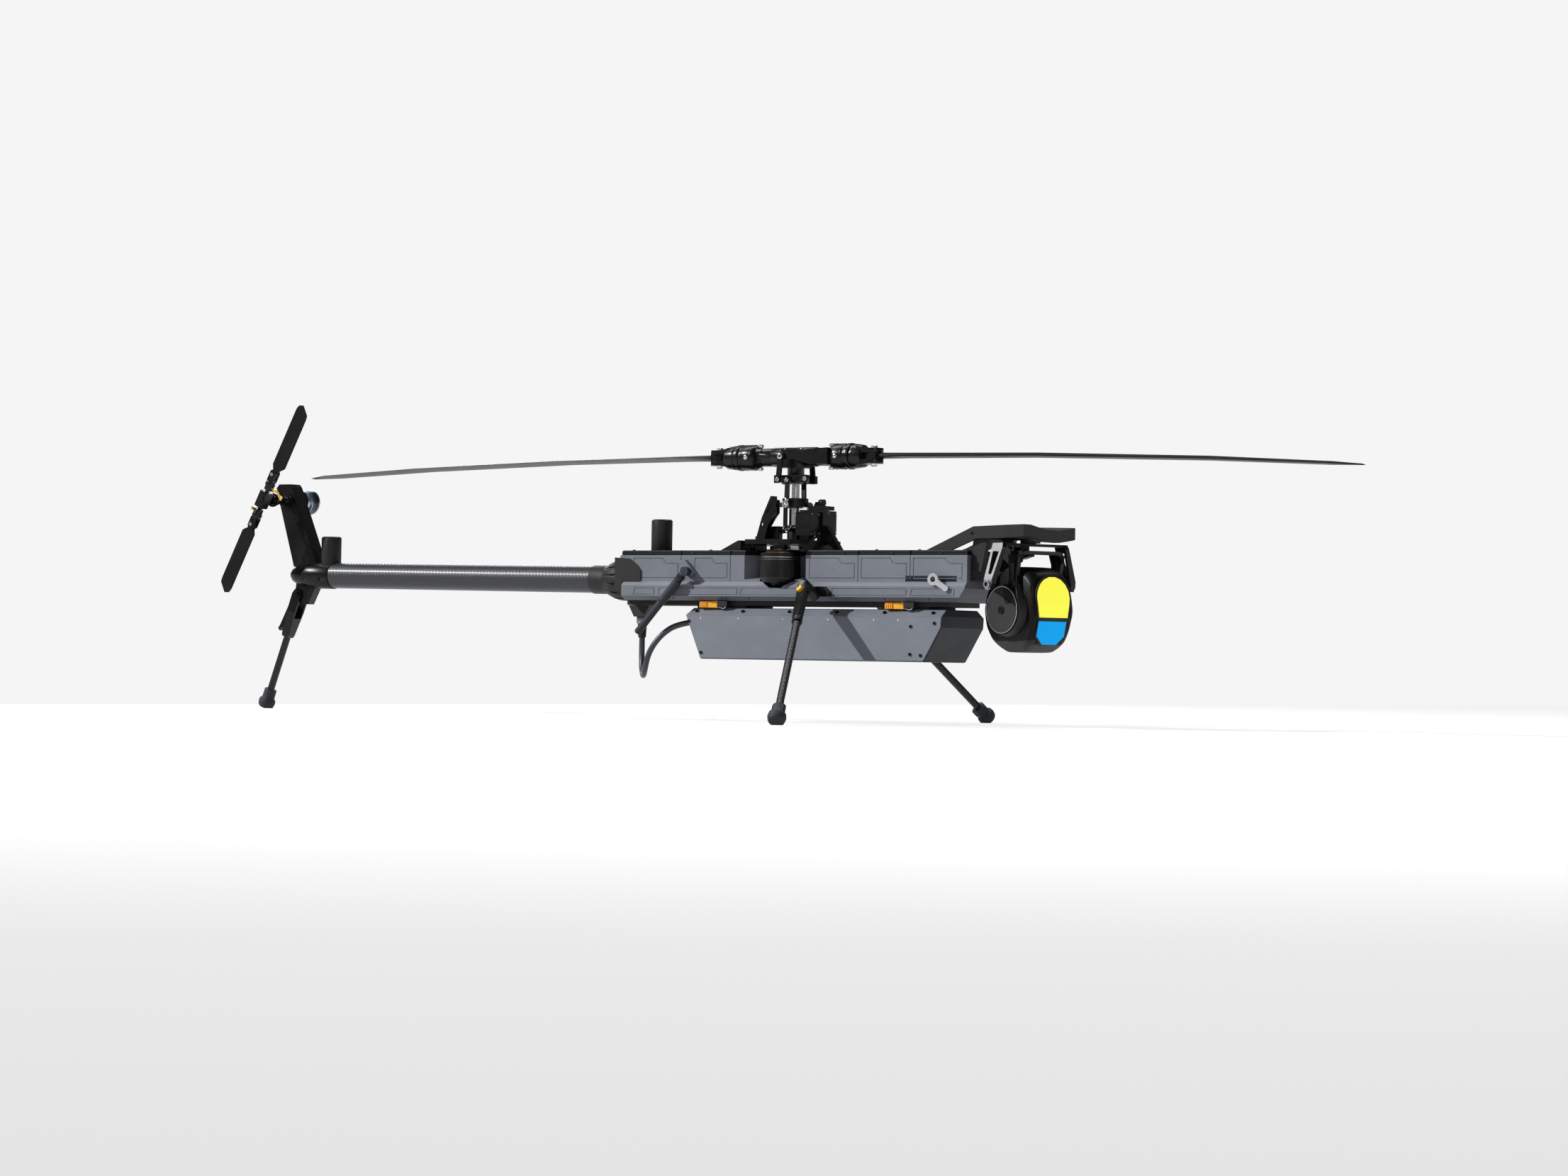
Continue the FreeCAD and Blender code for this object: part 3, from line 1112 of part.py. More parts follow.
def gimbal_yoke():
    """Roll yoke: a bridge over the camera head and two arms that hold its tilt motors."""
    inner, outer = D["yoke_inner"], D["yoke_outer"]
    bridge = slab("YZ", [(-outer, 70), (5 - outer, 87), (outer - 5, 87), (outer, 70), (inner, 70),
                         (inner - 4, 82.5), (4 - inner, 82.5), (-inner, 70)], 2, 28)
    drum = rod((-25.6, 0, D["roll_z"]), (1, 0, 0), 6.2, 11.2)
    pin = rod((-31, 0, D["roll_z"]), (1, 0, 0), 3, 22)
    spine = slab("XZ", [(-25.6, 76), (-14.4, 76), (4, 80), (4, 86), (-5, 86), (-9, 83.1), (-14.4, 83.1),
                        (-25.6, 86)], -5, 5)
    parts = [bridge, drum, pin, spine]
    for side in (-1, 1):
        low, high = (inner, outer) if side > 0 else (-outer, -inner)
        arm = slab("XZ", [(28, 82), (21, 57), (24, 33), (36, 17), (-30, 17), (4, 44), (2, 82)], low, high)
        slit = slab("XZ", [(16, 74), (19, 74), (18, 42), (15, 42)], -60, 60)
        parts.append(cut(arm, slit))
        shell = cone((0, side * inner, 0), (0, side, 0), 40, 36.6, D["disc_y"] - inner)
        hollow = rod((0, side * (inner - 1), 0), (0, side, 0), 6.05, 8)
        recess = rod((0, side * (D["disc_y"] - 0.8), 0), (0, side, 0), 34.6, 4)
        parts.append(cut(shell, hollow, recess))
        cap = rod((0, side * (D["disc_y"] - 0.8), 0), (0, side, 0), 34, 1.4)
        step = slab("XZ", [(-30, 40), (-30, 32), (36, 3), (36, 40)], -60, 60)
        lid = cut(rod((0, side * (D["disc_y"] + 0.6), 0), (0, side, 0), 34, 1.2), step)
        boss = rod((0, side * D["disc_y"], 0), (0, side, 0), 4.6, 3)
        parts += [cap, lid, boss]
    gimbal_place(join(*parts), "gimbal_yoke")


# Side view of the camera head: round at the back, nearly flat at the front.
HEAD_FRONT = ((-16, -63), (23, -63), (43.5, -50.5), (51.2, -16), (53.5, -11), (53.5, 10), (49.5, 48),
              (44, 57), (29, 65), (-17, 65))
HEAD_ROUND = ((0, 72), (24, 71), (31, 65), (35, 60), (38, 56))


def head_side():
    rear = [(D["ball_rad"] * math.cos(math.radians(a)), D["ball_rad"] * math.sin(math.radians(a)))
            for a in range(115, 246, 13)]
    return [(size(x), size(z)) for x, z in HEAD_FRONT] + rear


def head_round():
    right = [(radius, y) for y, radius in HEAD_ROUND]
    left = [(radius, -y) for radius, y in reversed(right[1:])]
    return [(0, -D["ball_half"])] + left + right + [(0, D["ball_half"])]


def window_outline(width, low, high, dome):
    """Front view of a lens window: straight foot and a domed or cropped head."""
    half = width / 2
    if dome:
        arc = [(half * math.cos(math.radians(a)), high - half + half * math.sin(math.radians(a)))
               for a in range(0, 181, 20)]
        return [(-half * 0.86, low), (half * 0.86, low)] + arc
    return [(-half * 0.5, low), (half * 0.5, low), (half, low + 12.5), (half, high), (-half, high),
            (-half, low + 12.5)]


def camera_ball():
    profile = slab("XZ", head_side(), -60, 60)
    dome = turned("XY", "V_Axis", head_round())
    chin = slab("YZ", [(-26, -64), (26, -64), (39, -44), (39, 80), (-39, 80), (-39, -44)], -80, 80)
    stubs = rod((0, -44.6, 0), (0, 1, 0), 6, 89.2)
    groove = slab("XZ", [(-70, -40), (43, -18), (60, -18), (60, -19.2), (43, -19.2), (-70, -41.2)], -60, 60)
    skin = cut(slab("YZ", [(-60, -70), (60, -70), (60, 10), (-60, 10)], -80, 46),
               slab("YZ", [(-36.8, -70), (36.8, -70), (36.8, 10), (-36.8, 10)], -80, 80))
    body = cut(common(common(profile, dome), chin), common(groove, skin))
    gimbal_place(join(body, stubs), "camera_ball")


def camera_windows():
    """Two lens windows standing just proud of the head's front."""
    proud = 1.4
    upper_face = [(53.5, -10.7), (53.5, 10), (49.5, 48), (48, 51), (48 + proud, 52.4), (49.5 + proud, 48.5),
                  (53.5 + proud, 10), (53.5 + proud, -10.7)]
    lower_face = [(51.2, -16.3), (43.7, -50), (43.7 + proud, -50.6), (51.2 + proud, -16.3)]
    upper = common(slab("XZ", upper_face, -40, 40),
                   slab("YZ", window_outline(62.6, -10.6, 49.5, True), 20, 80))
    lower = common(slab("XZ", lower_face, -40, 40),
                   slab("YZ", window_outline(53, -50.4, -16.3, False), 20, 80))
    gimbal_place(group(upper, lower), "camera_windows")


def build():
    fuselage_shell()
    top_lid()
    belly_tub()
    hanger_rail()
    boom_collar()
    tail_boom()
    tail_pylon()
    antenna_mounts()
    motor_stators()
    main_motor_bell()
    mast()
    mechanics_deck()
    servos()
    horn_shapes()
    swashplate_outer()
    servo_links()
    swashplate_inner()
    pitch_links()
    rotor_hub()
    blade_grip("front_grip", 0)
    blade_grip("rear_grip", 180)
    main_blade("front_blade", 0)
    main_blade("rear_blade", 180)
    tail_hub()
    tail_motor_bell()
    tail_slider()
    tail_grip("upper_tail_grip", 0)
    tail_grip("lower_tail_grip", 1)
    tail_blade("upper_tail_blade", 0)
    tail_blade("lower_tail_blade", 1)
    front_leg(-1, "starboard")
    front_leg(1, "port")
    leg_brackets()
    tail_leg()
    battery_case()
    battery_cover()
    battery_cells()
    cap_screws()
    payload_latch("rear_latch", -105)
    payload_latch("front_latch", 225)
    power_cable()
    cable_ends()
    whip_antenna()
    release_lever()
    nose_visor()
    pan_frame()
    gimbal_yoke()
    camera_ball()
    camera_windows()


def check_and_write():
    doc.recompute()
    faults = [f"{obj.Name} {obj.Label} {obj.State}" for obj in doc.Objects
              if "Invalid" in obj.State or "Error" in obj.State]
    for label, obj in nodes.items():
        if obj.Shape.isNull() or not obj.Shape.isValid() or not obj.Shape.Solids:
            faults.append(f"{label} has no valid solid")
    if faults:
        raise RuntimeError("; ".join(faults))
    os.makedirs("parts", exist_ok=True)
    for label, obj in nodes.items():
        obj.Shape.exportStep(f"parts/{label}.step")
    whole = Part.makeCompound([obj.Shape for obj in nodes.values()]).BoundBox
    print(len(nodes), "sub-parts;", whole)


build()
check_and_write()
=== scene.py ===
"""Looks for a single-rotor unmanned helicopter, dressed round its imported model."""

import json
import math

import bmesh
import bpy
from mathutils import Matrix, Vector


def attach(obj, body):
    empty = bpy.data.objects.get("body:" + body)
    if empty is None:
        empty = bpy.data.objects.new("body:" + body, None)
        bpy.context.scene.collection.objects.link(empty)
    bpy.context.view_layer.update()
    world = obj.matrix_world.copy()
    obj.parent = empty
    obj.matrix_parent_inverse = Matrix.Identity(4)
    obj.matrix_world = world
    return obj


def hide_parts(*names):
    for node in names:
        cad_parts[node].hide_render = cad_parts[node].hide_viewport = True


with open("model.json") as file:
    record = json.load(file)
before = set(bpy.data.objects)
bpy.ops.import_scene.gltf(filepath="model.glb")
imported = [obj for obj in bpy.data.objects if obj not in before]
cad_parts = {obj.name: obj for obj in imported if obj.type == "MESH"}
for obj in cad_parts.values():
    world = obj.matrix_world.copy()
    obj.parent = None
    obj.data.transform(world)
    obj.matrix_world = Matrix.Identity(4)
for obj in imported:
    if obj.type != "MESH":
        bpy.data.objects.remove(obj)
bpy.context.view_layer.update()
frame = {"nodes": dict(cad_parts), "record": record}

NODES = frame["nodes"]
SIDES = ((-1, "starboard"), (1, "port"))

# Places and sizes are in millimetres, from the foot of the mast: x forward, y to port, z up.
MM = 0.001
MAST_X = 0.06718  # metres

ALONG_X = (1, 0, 0)
ALONG_Y = (0, 1, 0)
ALONG_Z = (0, 0, 1)
HUB = (0, 0, 405.6)
HUB_TOP = 11.5  # up from the hub's middle
GRIP_BOLT = 64  # out from the hub
BLADE_BOLT = 139  # out from the hub
GRIP_RADIUS = 19.9
LINK_BALLS = ((4, -35), (4, 35), (-24.7, 28.7))
SWASH_Z = 332
DRIVER_BALLS = ((-0.6, 26, 339), (0.6, -26, 339))
HORN_Z = 293
MAIN_MOTOR = (5.5, -49.7)
GIMBAL = (409, 0, 173)
GIMBAL_TURN = Matrix.Rotation(math.radians(-21), 4, "Z")
TAIL_ROTOR = (-984, 0, 345.5)
TAIL_TURN = Matrix.Rotation(math.radians(27.8), 4, "Y")
TAIL_GRIP_Y = -75
BOOM_BACK = (-892, 0, 222)
BOOM_RUN = (600, 0, -6.06)
WHIP_BASE = (-152, -73.4, 228)
WHIP_RUN = (-0.675, 0, -0.738)
TAIL_LEG_PIVOT = (-963, 0, 190)
TAIL_LEG_FOOT = (-1030, 0, 12.4)
LEG_PIVOT = {word: (75, side * 92, 206) for side, word in SIDES}
LEG_FOOT = {word: (166.6, side * 312, 12.4) for side, word in SIDES}


def mast_point(x, y, z):
    """A place in millimetres from the foot of the mast, as a point of the row in metres."""
    return Vector((MAST_X + x * MM, y * MM, z * MM))


def frame_of(origin, turn=None):
    """A frame in millimetres, carried to its place in the row."""
    return Matrix.Translation(mast_point(*origin)) @ (turn or Matrix.Identity(4)) @ Matrix.Scale(MM, 4)


def leg_turn(side, word):
    """Turn of a front leg's frame: its first axis faces out, its third runs up the leg."""
    up = (Vector(LEG_PIVOT[word]) - Vector(LEG_FOOT[word])).normalized()
    face = Vector((-0.33, 0.734 * side, 0.587))
    out = (face - up * face.dot(up)).normalized()
    return Matrix((out, up.cross(out), up)).transposed().to_4x4()


LEG_TURN = {word: leg_turn(side, word) for side, word in SIDES}


def new_object(name, data):
    made = bpy.data.objects.new(name, data)
    bpy.context.scene.collection.objects.link(made)
    return made


# ---- camera

CAMERA_PLACE = (3137.0, -5098.6, 91.4)
CAMERA_TURN = math.radians(31.75)
CAMERA_TILT = math.radians(91.083)
CAMERA_ROLL = math.radians(0.928)


def make_camera():
    data = bpy.data.cameras.new("studio_camera")
    data.lens = 89.64
    data.sensor_width = 36.0
    data.clip_start = 0.1
    data.clip_end = 60.0
    camera = new_object("studio_camera", data)
    turn = Matrix.Rotation(CAMERA_TURN, 3, "Z")
    tilt = Matrix.Rotation(CAMERA_TILT, 3, "X")
    roll = Matrix.Rotation(CAMERA_ROLL, 3, "Z")
    camera.rotation_euler = (turn @ tilt @ roll).to_euler()
    camera.location = mast_point(*CAMERA_PLACE)
    bpy.context.scene.camera = camera


# ---- cable

CABLE_ROUTE = [(-272, -10, 126), (-272, -10, 104), (-268, -16, 83), (-257, -29, 68), (-244, -46, 66),
               (-232, -60, 78), (-224, -65, 98), (-213, -64, 117), (-199, -58, 134), (-184, -46, 146),
               (-164, -38, 150)]
CABLE_WIDTH = 0.009  # metres


def make_cable():
    """The supply lead, in one smooth loop from under the tail end of the hull to the battery case."""
    curve = bpy.data.curves.new("supply_lead", "CURVE")
    curve.dimensions = "3D"
    curve.bevel_depth = CABLE_WIDTH / 2
    curve.bevel_resolution = 8
    curve.resolution_u = 10
    spline = curve.splines.new("NURBS")
    spline.points.add(len(CABLE_ROUTE) - 1)
    for point, place in zip(spline.points, CABLE_ROUTE):
        point.co = (*mast_point(*place), 1.0)
    spline.order_u = 3
    spline.use_endpoint_u = True
    curve.materials.append(FINISH["cable_sheath"])
    lead = new_object("supply_lead", curve)
    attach(lead, "airframe")
    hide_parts("power_cable")


# ---- shader helpers

class Shader:
    """A node tree with short ways to add and join nodes. A value is a socket, or else a number or colour."""

    def __init__(self, tree):
        self.tree = tree

    def node(self, kind, **settings):
        made = self.tree.nodes.new(kind)
        for name, value in settings.items():
            setattr(made, name, value)
        return made

    def join(self, source, target):
        self.tree.links.new(source, target)

    def feed(self, target, value):
        if isinstance(value, bpy.types.NodeSocket):
            self.join(value, target)
        else:
            target.default_value = value

    def math(self, operation, *values):
        made = self.node("ShaderNodeMath", operation=operation)
        for socket, value in zip(made.inputs, values):
            self.feed(socket, value)
        return made.outputs[0]

    def noise(self, vector, scale, detail, roughness):
        made = self.node("ShaderNodeTexNoise")
        made.inputs["Scale"].default_value = scale
        made.inputs["Detail"].default_value = detail
        made.inputs["Roughness"].default_value = roughness
        self.join(vector, made.inputs["Vector"])
        return made.outputs["Fac"]

    def span(self, value, low, high, new_low=0.0, new_high=1.0):
        """A value's place between low and high, carried to the new range and held inside it."""
        made = self.node("ShaderNodeMapRange", clamp=True)
        self.join(value, made.inputs["Value"])
        limits = {"From Min": low, "From Max": high, "To Min": new_low, "To Max": new_high}
        for name, number in limits.items():
            made.inputs[name].default_value = number
        return made.outputs["Result"]

    def blend(self, factor, first, second):
        """A colour between two others."""
        made = self.node("ShaderNodeMix", data_type="RGBA")
        self.join(factor, made.inputs[0])
        for socket, colour in ((made.inputs[6], first), (made.inputs[7], second)):
            self.feed(socket, colour if isinstance(colour, bpy.types.NodeSocket) else (*colour, 1.0))
        return made.outputs[2]

    def mix(self, factor, first, second):
        """A number between two others."""
        made = self.node("ShaderNodeMix", data_type="FLOAT")
        for index, value in ((0, factor), (2, first), (3, second)):
            self.feed(made.inputs[index], value)
        return made.outputs[0]

    def stretch(self, vector, scale, rotation=(0.0, 0.0, 0.0)):
        made = self.node("ShaderNodeMapping")
        made.inputs["Scale"].default_value = scale
        made.inputs["Rotation"].default_value = rotation
        self.join(vector, made.inputs["Vector"])
        return made.outputs[0]

    def split(self, vector):
        made = self.node("ShaderNodeSeparateXYZ")
        self.join(vector, made.inputs[0])
        return made.outputs

    def group(self, tree, **inputs):
        made = self.node("ShaderNodeGroup", node_tree=tree)
        for name, value in inputs.items():
            self.feed(made.inputs[name], value)
        return made.outputs

    def bump(self, height, strength, distance):
        made = self.node("ShaderNodeBump")
        made.inputs["Strength"].default_value = strength
        made.inputs["Distance"].default_value = distance
        self.join(height, made.inputs["Height"])
        return made.outputs["Normal"]

    def place(self):
        return self.node("ShaderNodeTexCoord").outputs["Object"]


# ---- shared effects

def effect(name, inputs, outputs, build):
    """A shader node group with named sockets, filled by build(shader, inputs) -> {output: socket}."""
    tree = bpy.data.node_groups.new(name, "ShaderNodeTree")
    for label, default in inputs.items():
        kind = "NodeSocketVector" if default is None else "NodeSocketFloat"
        socket = tree.interface.new_socket(name=label, in_out="INPUT", socket_type=kind)
        if default is not None:
            socket.default_value = default
    for label in outputs:
        tree.interface.new_socket(name=label, in_out="OUTPUT", socket_type="NodeSocketFloat")
    shader = Shader(tree)
    entry = shader.node("NodeGroupInput")
    leave = shader.node("NodeGroupOutput")
    for label, socket in build(shader, entry.outputs).items():
        shader.join(socket, leave.inputs[label])
    return tree


def moulded_grain(shader, inputs):
    """Spark-eroded mould texture: fine pits, with slow cloudy drift in tone."""
    fine = shader.node("ShaderNodeVectorMath", operation="SCALE")
    shader.join(inputs["Place"], fine.inputs[0])
    shader.join(inputs["Grains per metre"], fine.inputs["Scale"])
    pits = shader.noise(fine.outputs[0], 1.0, 3.0, 0.6)
    cloud = shader.noise(inputs["Place"], 14.0, 3.0, 0.55)
    tone = shader.math("MULTIPLY_ADD", pits, 0.45, shader.math("MULTIPLY", cloud, 0.55))
    return {"Height": pits, "Tone": tone}


def handling_marks(shader, inputs):
    """Thin rubbed streaks and dull smudges that handling leaves."""
    stretched = shader.stretch(inputs["Place"], (30.0, 120.0, 420.0), (0.3, 0.5, 0.2))
    rubbed = shader.span(shader.noise(stretched, 1.0, 4.0, 0.62), 0.6, 0.78)
    dull = shader.span(shader.noise(inputs["Place"], 22.0, 4.0, 0.6), 0.5, 0.75)
    mask = shader.math("MULTIPLY", shader.math("MAXIMUM", rubbed, dull), inputs["Amount"])
    return {"Mask": mask}


def twill(shader, inputs):
    """Two-by-two twill: tow boxes over and under, from lengths along and round the tube."""
    column = shader.math("DIVIDE", inputs["Along"], inputs["Tow"])
    row = shader.math("DIVIDE", inputs["Around"], inputs["Tow"])
    total = shader.math("ADD", shader.math("FLOOR", column), shader.math("FLOOR", row))
    over = shader.math("LESS_THAN", shader.math("FLOORED_MODULO", total, 4.0), 1.5)
    across = shader.math("ABSOLUTE", shader.math("SINE", shader.math("MULTIPLY", column, math.pi)))
    down = shader.math("ABSOLUTE", shader.math("SINE", shader.math("MULTIPLY", row, math.pi)))
    under = shader.math("SUBTRACT", 1.0, over)
    height = shader.math("MULTIPLY_ADD", across, over, shader.math("MULTIPLY", down, under))
    return {"Over": over, "Height": height}


def drawn_lines(shader, inputs):
    """Long faint lines, as lathe turning or drawn fibres leave them."""
    lines = shader.noise(shader.stretch(inputs["Place"], (25.0, 2600.0, 2600.0)), 1.0, 3.0, 0.55)
    return {"Lines": shader.math("MULTIPLY", lines, inputs["Amount"])}


GRAIN = effect("moulded_grain", {"Place": None, "Grains per metre": 1500.0}, ["Height", "Tone"],
               moulded_grain)
MARKS = effect("handling_marks", {"Place": None, "Amount": 0.3}, ["Mask"], handling_marks)
TWILL = effect("carbon_twill", {"Along": 0.0, "Around": 0.0, "Tow": 0.0016}, ["Over", "Height"], twill)
LINES = effect("drawn_lines", {"Place": None, "Amount": 1.0}, ["Lines"], drawn_lines)


# ---- materials

FINISH = {}


def new_material(name, **constants):
    """A material kept in FINISH under its name, whose plain Principled values are given by their labels."""
    material = bpy.data.materials.new(name)
    material.use_nodes = True
    FINISH[name] = material
    principled = material.node_tree.nodes["Principled BSDF"]
    for label, value in constants.items():
        principled.inputs[label.replace("_", " ")].default_value = value
    return Shader(material.node_tree), principled.inputs


def grained(name, dark, light, worn, rough, grains, depth, wear=0.25, strength=0.5, **constants):
    """A moulded, painted or anodised surface: grain, slow tone drift and light handling marks."""
    shader, inputs = new_material(name, **constants)
    place = shader.place()
    grain = shader.group(GRAIN, **{"Place": place, "Grains per metre": grains})
    marks = shader.group(MARKS, Place=place, Amount=wear)["Mask"]
    base = shader.blend(shader.span(grain["Tone"], 0.35, 0.65), dark, light)
    shader.join(shader.blend(marks, base, worn), inputs["Base Color"])
    drift = shader.span(grain["Tone"], 0.3, 0.7, *rough)
    shader.join(shader.math("MULTIPLY_ADD", marks, 0.12, drift), inputs["Roughness"])
    shader.join(shader.bump(grain["Height"], strength, depth * MM), inputs["Normal"])


def drawn(name, dark, light, rough, depth=0.03, **constants):
    """Metal or pressed composite with fine lines along it."""
    shader, inputs = new_material(name, **constants)
    place = shader.place()
    lines = shader.group(LINES, Place=place, Amount=1.0)["Lines"]
    marks = shader.group(MARKS, Place=place, Amount=0.3)["Mask"]
    shader.join(shader.blend(shader.span(lines, 0.3, 0.7), dark, light), inputs["Base Color"])
    drift = shader.span(lines, 0.3, 0.7, *rough)
    shader.join(shader.math("MULTIPLY_ADD", marks, 0.1, drift), inputs["Roughness"])
    shader.join(shader.bump(lines, 0.5, depth * MM), inputs["Normal"])


def tube_lengths(shader, base, axis, radius):
    """Lengths along and round a tube through base in the direction axis, in metres."""
    aside = Vector(ALONG_Z).cross(axis).normalized()
    upward = axis.cross(aside).normalized()
    local = shader.node("ShaderNodeMapping", vector_type="TEXTURE")
    local.inputs["Location"].default_value = base
    local.inputs["Rotation"].default_value = Matrix((aside, upward, axis)).transposed().to_euler()
    shader.join(shader.place(), local.inputs["Vector"])
    x, y, z = shader.split(local.outputs[0])
    return z, shader.math("MULTIPLY", shader.math("ARCTAN2", x, y), radius)


def carbon_tube(name, base, axis, dark, light, rough, radius, tow, depth, **constants):
    """Woven carbon under clear coat, with its weave laid true along one tube, and painted sheen on the tows
    that lie over.
    """
    shader, inputs = new_material(name, **constants)
    along, around = tube_lengths(shader, base, axis.normalized(), radius * MM)
    weave = shader.group(TWILL, Along=along, Around=around, Tow=tow * MM)
    fibre = shader.group(LINES, Place=shader.place(), Amount=1.0)["Lines"]
    # Painted sheen: the over tows take the lighter colour in place of the light that tows running the other
    # way reflect.
    shader.join(shader.blend(weave["Over"], dark, light), inputs["Base Color"])
    smooth, dull = rough
    sheen = shader.span(weave["Over"], 0.0, 1.0, dull, smooth)
    shader.join(shader.math("MULTIPLY_ADD", fibre, 0.08, sheen), inputs["Roughness"])
    shader.join(shader.bump(weave["Height"], 0.6, depth * MM), inputs["Normal"])


def carbon_leg(name, pivot, foot):
    base = mast_point(*pivot)
    # The second, lighter colour is the painted sheen of the over tows.
    carbon_tube(name, base, mast_point(*foot) - base,
                (0.003, 0.003, 0.004), (0.012, 0.013, 0.016), (0.2, 0.34), radius=5.8, tow=2.3, depth=0.22,
                Specular_IOR_Level=0.3, Coat_Weight=0.1, Coat_Roughness=0.12)


def grey(level):
    return (level, level, level)


def painted_panels():
    grained("grey_panel", (0.148, 0.16, 0.19), (0.176, 0.19, 0.224), (0.27, 0.29, 0.32), (0.4, 0.53),
            grains=1300, depth=0.08, wear=0.22, Specular_IOR_Level=0.35)
    grained("case_panel", (0.165, 0.178, 0.21), (0.192, 0.207, 0.243), (0.29, 0.31, 0.34), (0.38, 0.5),
            grains=900, depth=0.05, wear=0.2, Specular_IOR_Level=0.4)
    grained("dark_panel", (0.012, 0.0145, 0.021), (0.018, 0.021, 0.03), (0.045, 0.05, 0.06), (0.4, 0.52),
            grains=1100, depth=0.06, wear=0.2, Specular_IOR_Level=0.18)
    grained("orange", (0.85, 0.36, 0.015), (0.97, 0.47, 0.03), (1.0, 0.62, 0.16), (0.3, 0.42),
            grains=1200, depth=0.03, wear=0.2, Specular_IOR_Level=0.5)


def black_plastics():
    grained("black_plastic", (0.005, 0.005, 0.006), (0.009, 0.009, 0.01), (0.028, 0.028, 0.03), (0.34, 0.5),
            grains=1400, depth=0.12, wear=0.18, Specular_IOR_Level=0.2)
    grained("coarse_black", grey(0.008), grey(0.018), grey(0.05), (0.44, 0.6),
            grains=1000, depth=0.25, wear=0.15, strength=1.0, Specular_IOR_Level=0.28)
    grained("black_composite", grey(0.003), grey(0.006), grey(0.02), (0.22, 0.34),
            grains=900, depth=0.04, wear=0.15, Specular_IOR_Level=0.22)
    grained("head_shell", grey(0.003), grey(0.006), grey(0.02), (0.34, 0.44),
            grains=1500, depth=0.06, wear=0.12, Specular_IOR_Level=0.14)
    grained("head_band", (0.02, 0.02, 0.021), (0.034, 0.034, 0.035), (0.06, 0.06, 0.062), (0.4, 0.52),
            grains=1500, depth=0.14, wear=0.12, strength=0.8, Specular_IOR_Level=0.25)
    grained("pressed_tail_blade", grey(0.006), grey(0.011), grey(0.025), (0.34, 0.46),
            grains=1100, depth=0.04, wear=0.15, Specular_IOR_Level=0.12)
    drawn("pressed_blade", grey(0.005), grey(0.011), (0.3, 0.44), Specular_IOR_Level=0.12)


def soft_and_clear():
    """Rubber, cable and cell sleeves, and the two plain windows, which glow a little."""
    grained("rubber", (0.016, 0.019, 0.026), (0.026, 0.03, 0.039), (0.06, 0.065, 0.075), (0.55, 0.72),
            grains=1100, depth=0.15, wear=0.2, strength=0.7, Specular_IOR_Level=0.35)
    grained("cable_sheath", (0.026, 0.03, 0.042), (0.04, 0.045, 0.06), (0.09, 0.095, 0.11), (0.36, 0.48),
            grains=700, depth=0.04, Specular_IOR_Level=0.5)
    grained("cell_wrap", (0.03, 0.08, 0.22), (0.05, 0.12, 0.3), (0.2, 0.25, 0.4), (0.2, 0.3),
            grains=600, depth=0.03, wear=0.15)
    grained("yellow_window", (0.96, 0.93, 0.05), (1.0, 0.97, 0.07), (1.0, 0.97, 0.16), (0.34, 0.4),
            grains=500, depth=0.01, wear=0.1, Specular_IOR_Level=0.2,
            Emission_Color=(1.0, 0.96, 0.1, 1.0), Emission_Strength=0.62)
    grained("blue_window", (0.0, 0.34, 0.86), (0.0, 0.4, 0.93), (0.05, 0.48, 0.95), (0.34, 0.4),
            grains=500, depth=0.01, wear=0.1, Specular_IOR_Level=0.2,
            Emission_Color=(0.0, 0.4, 0.95, 1.0), Emission_Strength=0.5)


def metals():
    grained("black_metal", (0.003, 0.003, 0.0035), (0.006, 0.006, 0.007), (0.05, 0.05, 0.055), (0.18, 0.32),
            grains=1800, depth=0.03, wear=0.2, Specular_IOR_Level=0.28)
    drawn("bright_steel", (0.5, 0.51, 0.54), (0.68, 0.69, 0.72), (0.16, 0.3), Metallic=1.0)
    drawn("dull_steel", (0.3, 0.31, 0.33), (0.45, 0.46, 0.48), (0.28, 0.42), Metallic=1.0)
    drawn("aluminium", (0.55, 0.56, 0.58), (0.7, 0.71, 0.73), (0.25, 0.4), Metallic=1.0)
    drawn("gold", (0.75, 0.45, 0.12), (0.9, 0.6, 0.2), (0.22, 0.35), Metallic=1.0)
    drawn("copper_wire", (0.5, 0.22, 0.08), (0.75, 0.38, 0.14), (0.25, 0.4), Metallic=0.9)
    drawn("machined", (0.48, 0.48, 0.49), (0.6, 0.6, 0.61), (0.26, 0.34), depth=0.01, Metallic=1.0)
    drawn("blue_metal", (0.28, 0.34, 0.42), (0.42, 0.49, 0.58), (0.22, 0.36), Metallic=1.0)


def carbon_tubes():
    # The second, bluish colour is the painted sheen of the over tows.
    carbon_tube("carbon_boom", mast_point(*BOOM_BACK), Vector(BOOM_RUN),
                (0.004, 0.005, 0.007), (0.03, 0.034, 0.045), (0.28, 0.44), radius=21, tow=1.6, depth=0.16,
                Specular_IOR_Level=0.55, Coat_Weight=0.08, Coat_Roughness=0.2)
    for _, word in SIDES:
        carbon_leg(f"carbon_{word}_leg", LEG_PIVOT[word], LEG_FOOT[word])
    carbon_leg("carbon_tail_leg", TAIL_LEG_PIVOT, TAIL_LEG_FOOT)


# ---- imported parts

NODE_FINISH = {
    "coarse_black": ["antenna_mounts", "nose_visor", "boom_collar", "hanger_rail", "cable_ends"],
    "black_plastic": ["top_lid"],
    "case_panel": ["battery_case"],
    "head_shell": ["camera_ball", "gimbal_yoke"],
    "carbon_boom": ["tail_boom"],
    "carbon_starboard_leg": ["starboard_leg_tube"],
    "carbon_port_leg": ["port_leg_tube"],
    "carbon_tail_leg": ["tail_leg_tube"],
    "pressed_blade": ["front_blade", "rear_blade"],
    "pressed_tail_blade": ["upper_tail_blade", "lower_tail_blade"],
    "blue_metal": ["tail_motor_bell"],
    "rubber": ["whip_antenna", "starboard_foot", "port_foot", "tail_foot"],
}

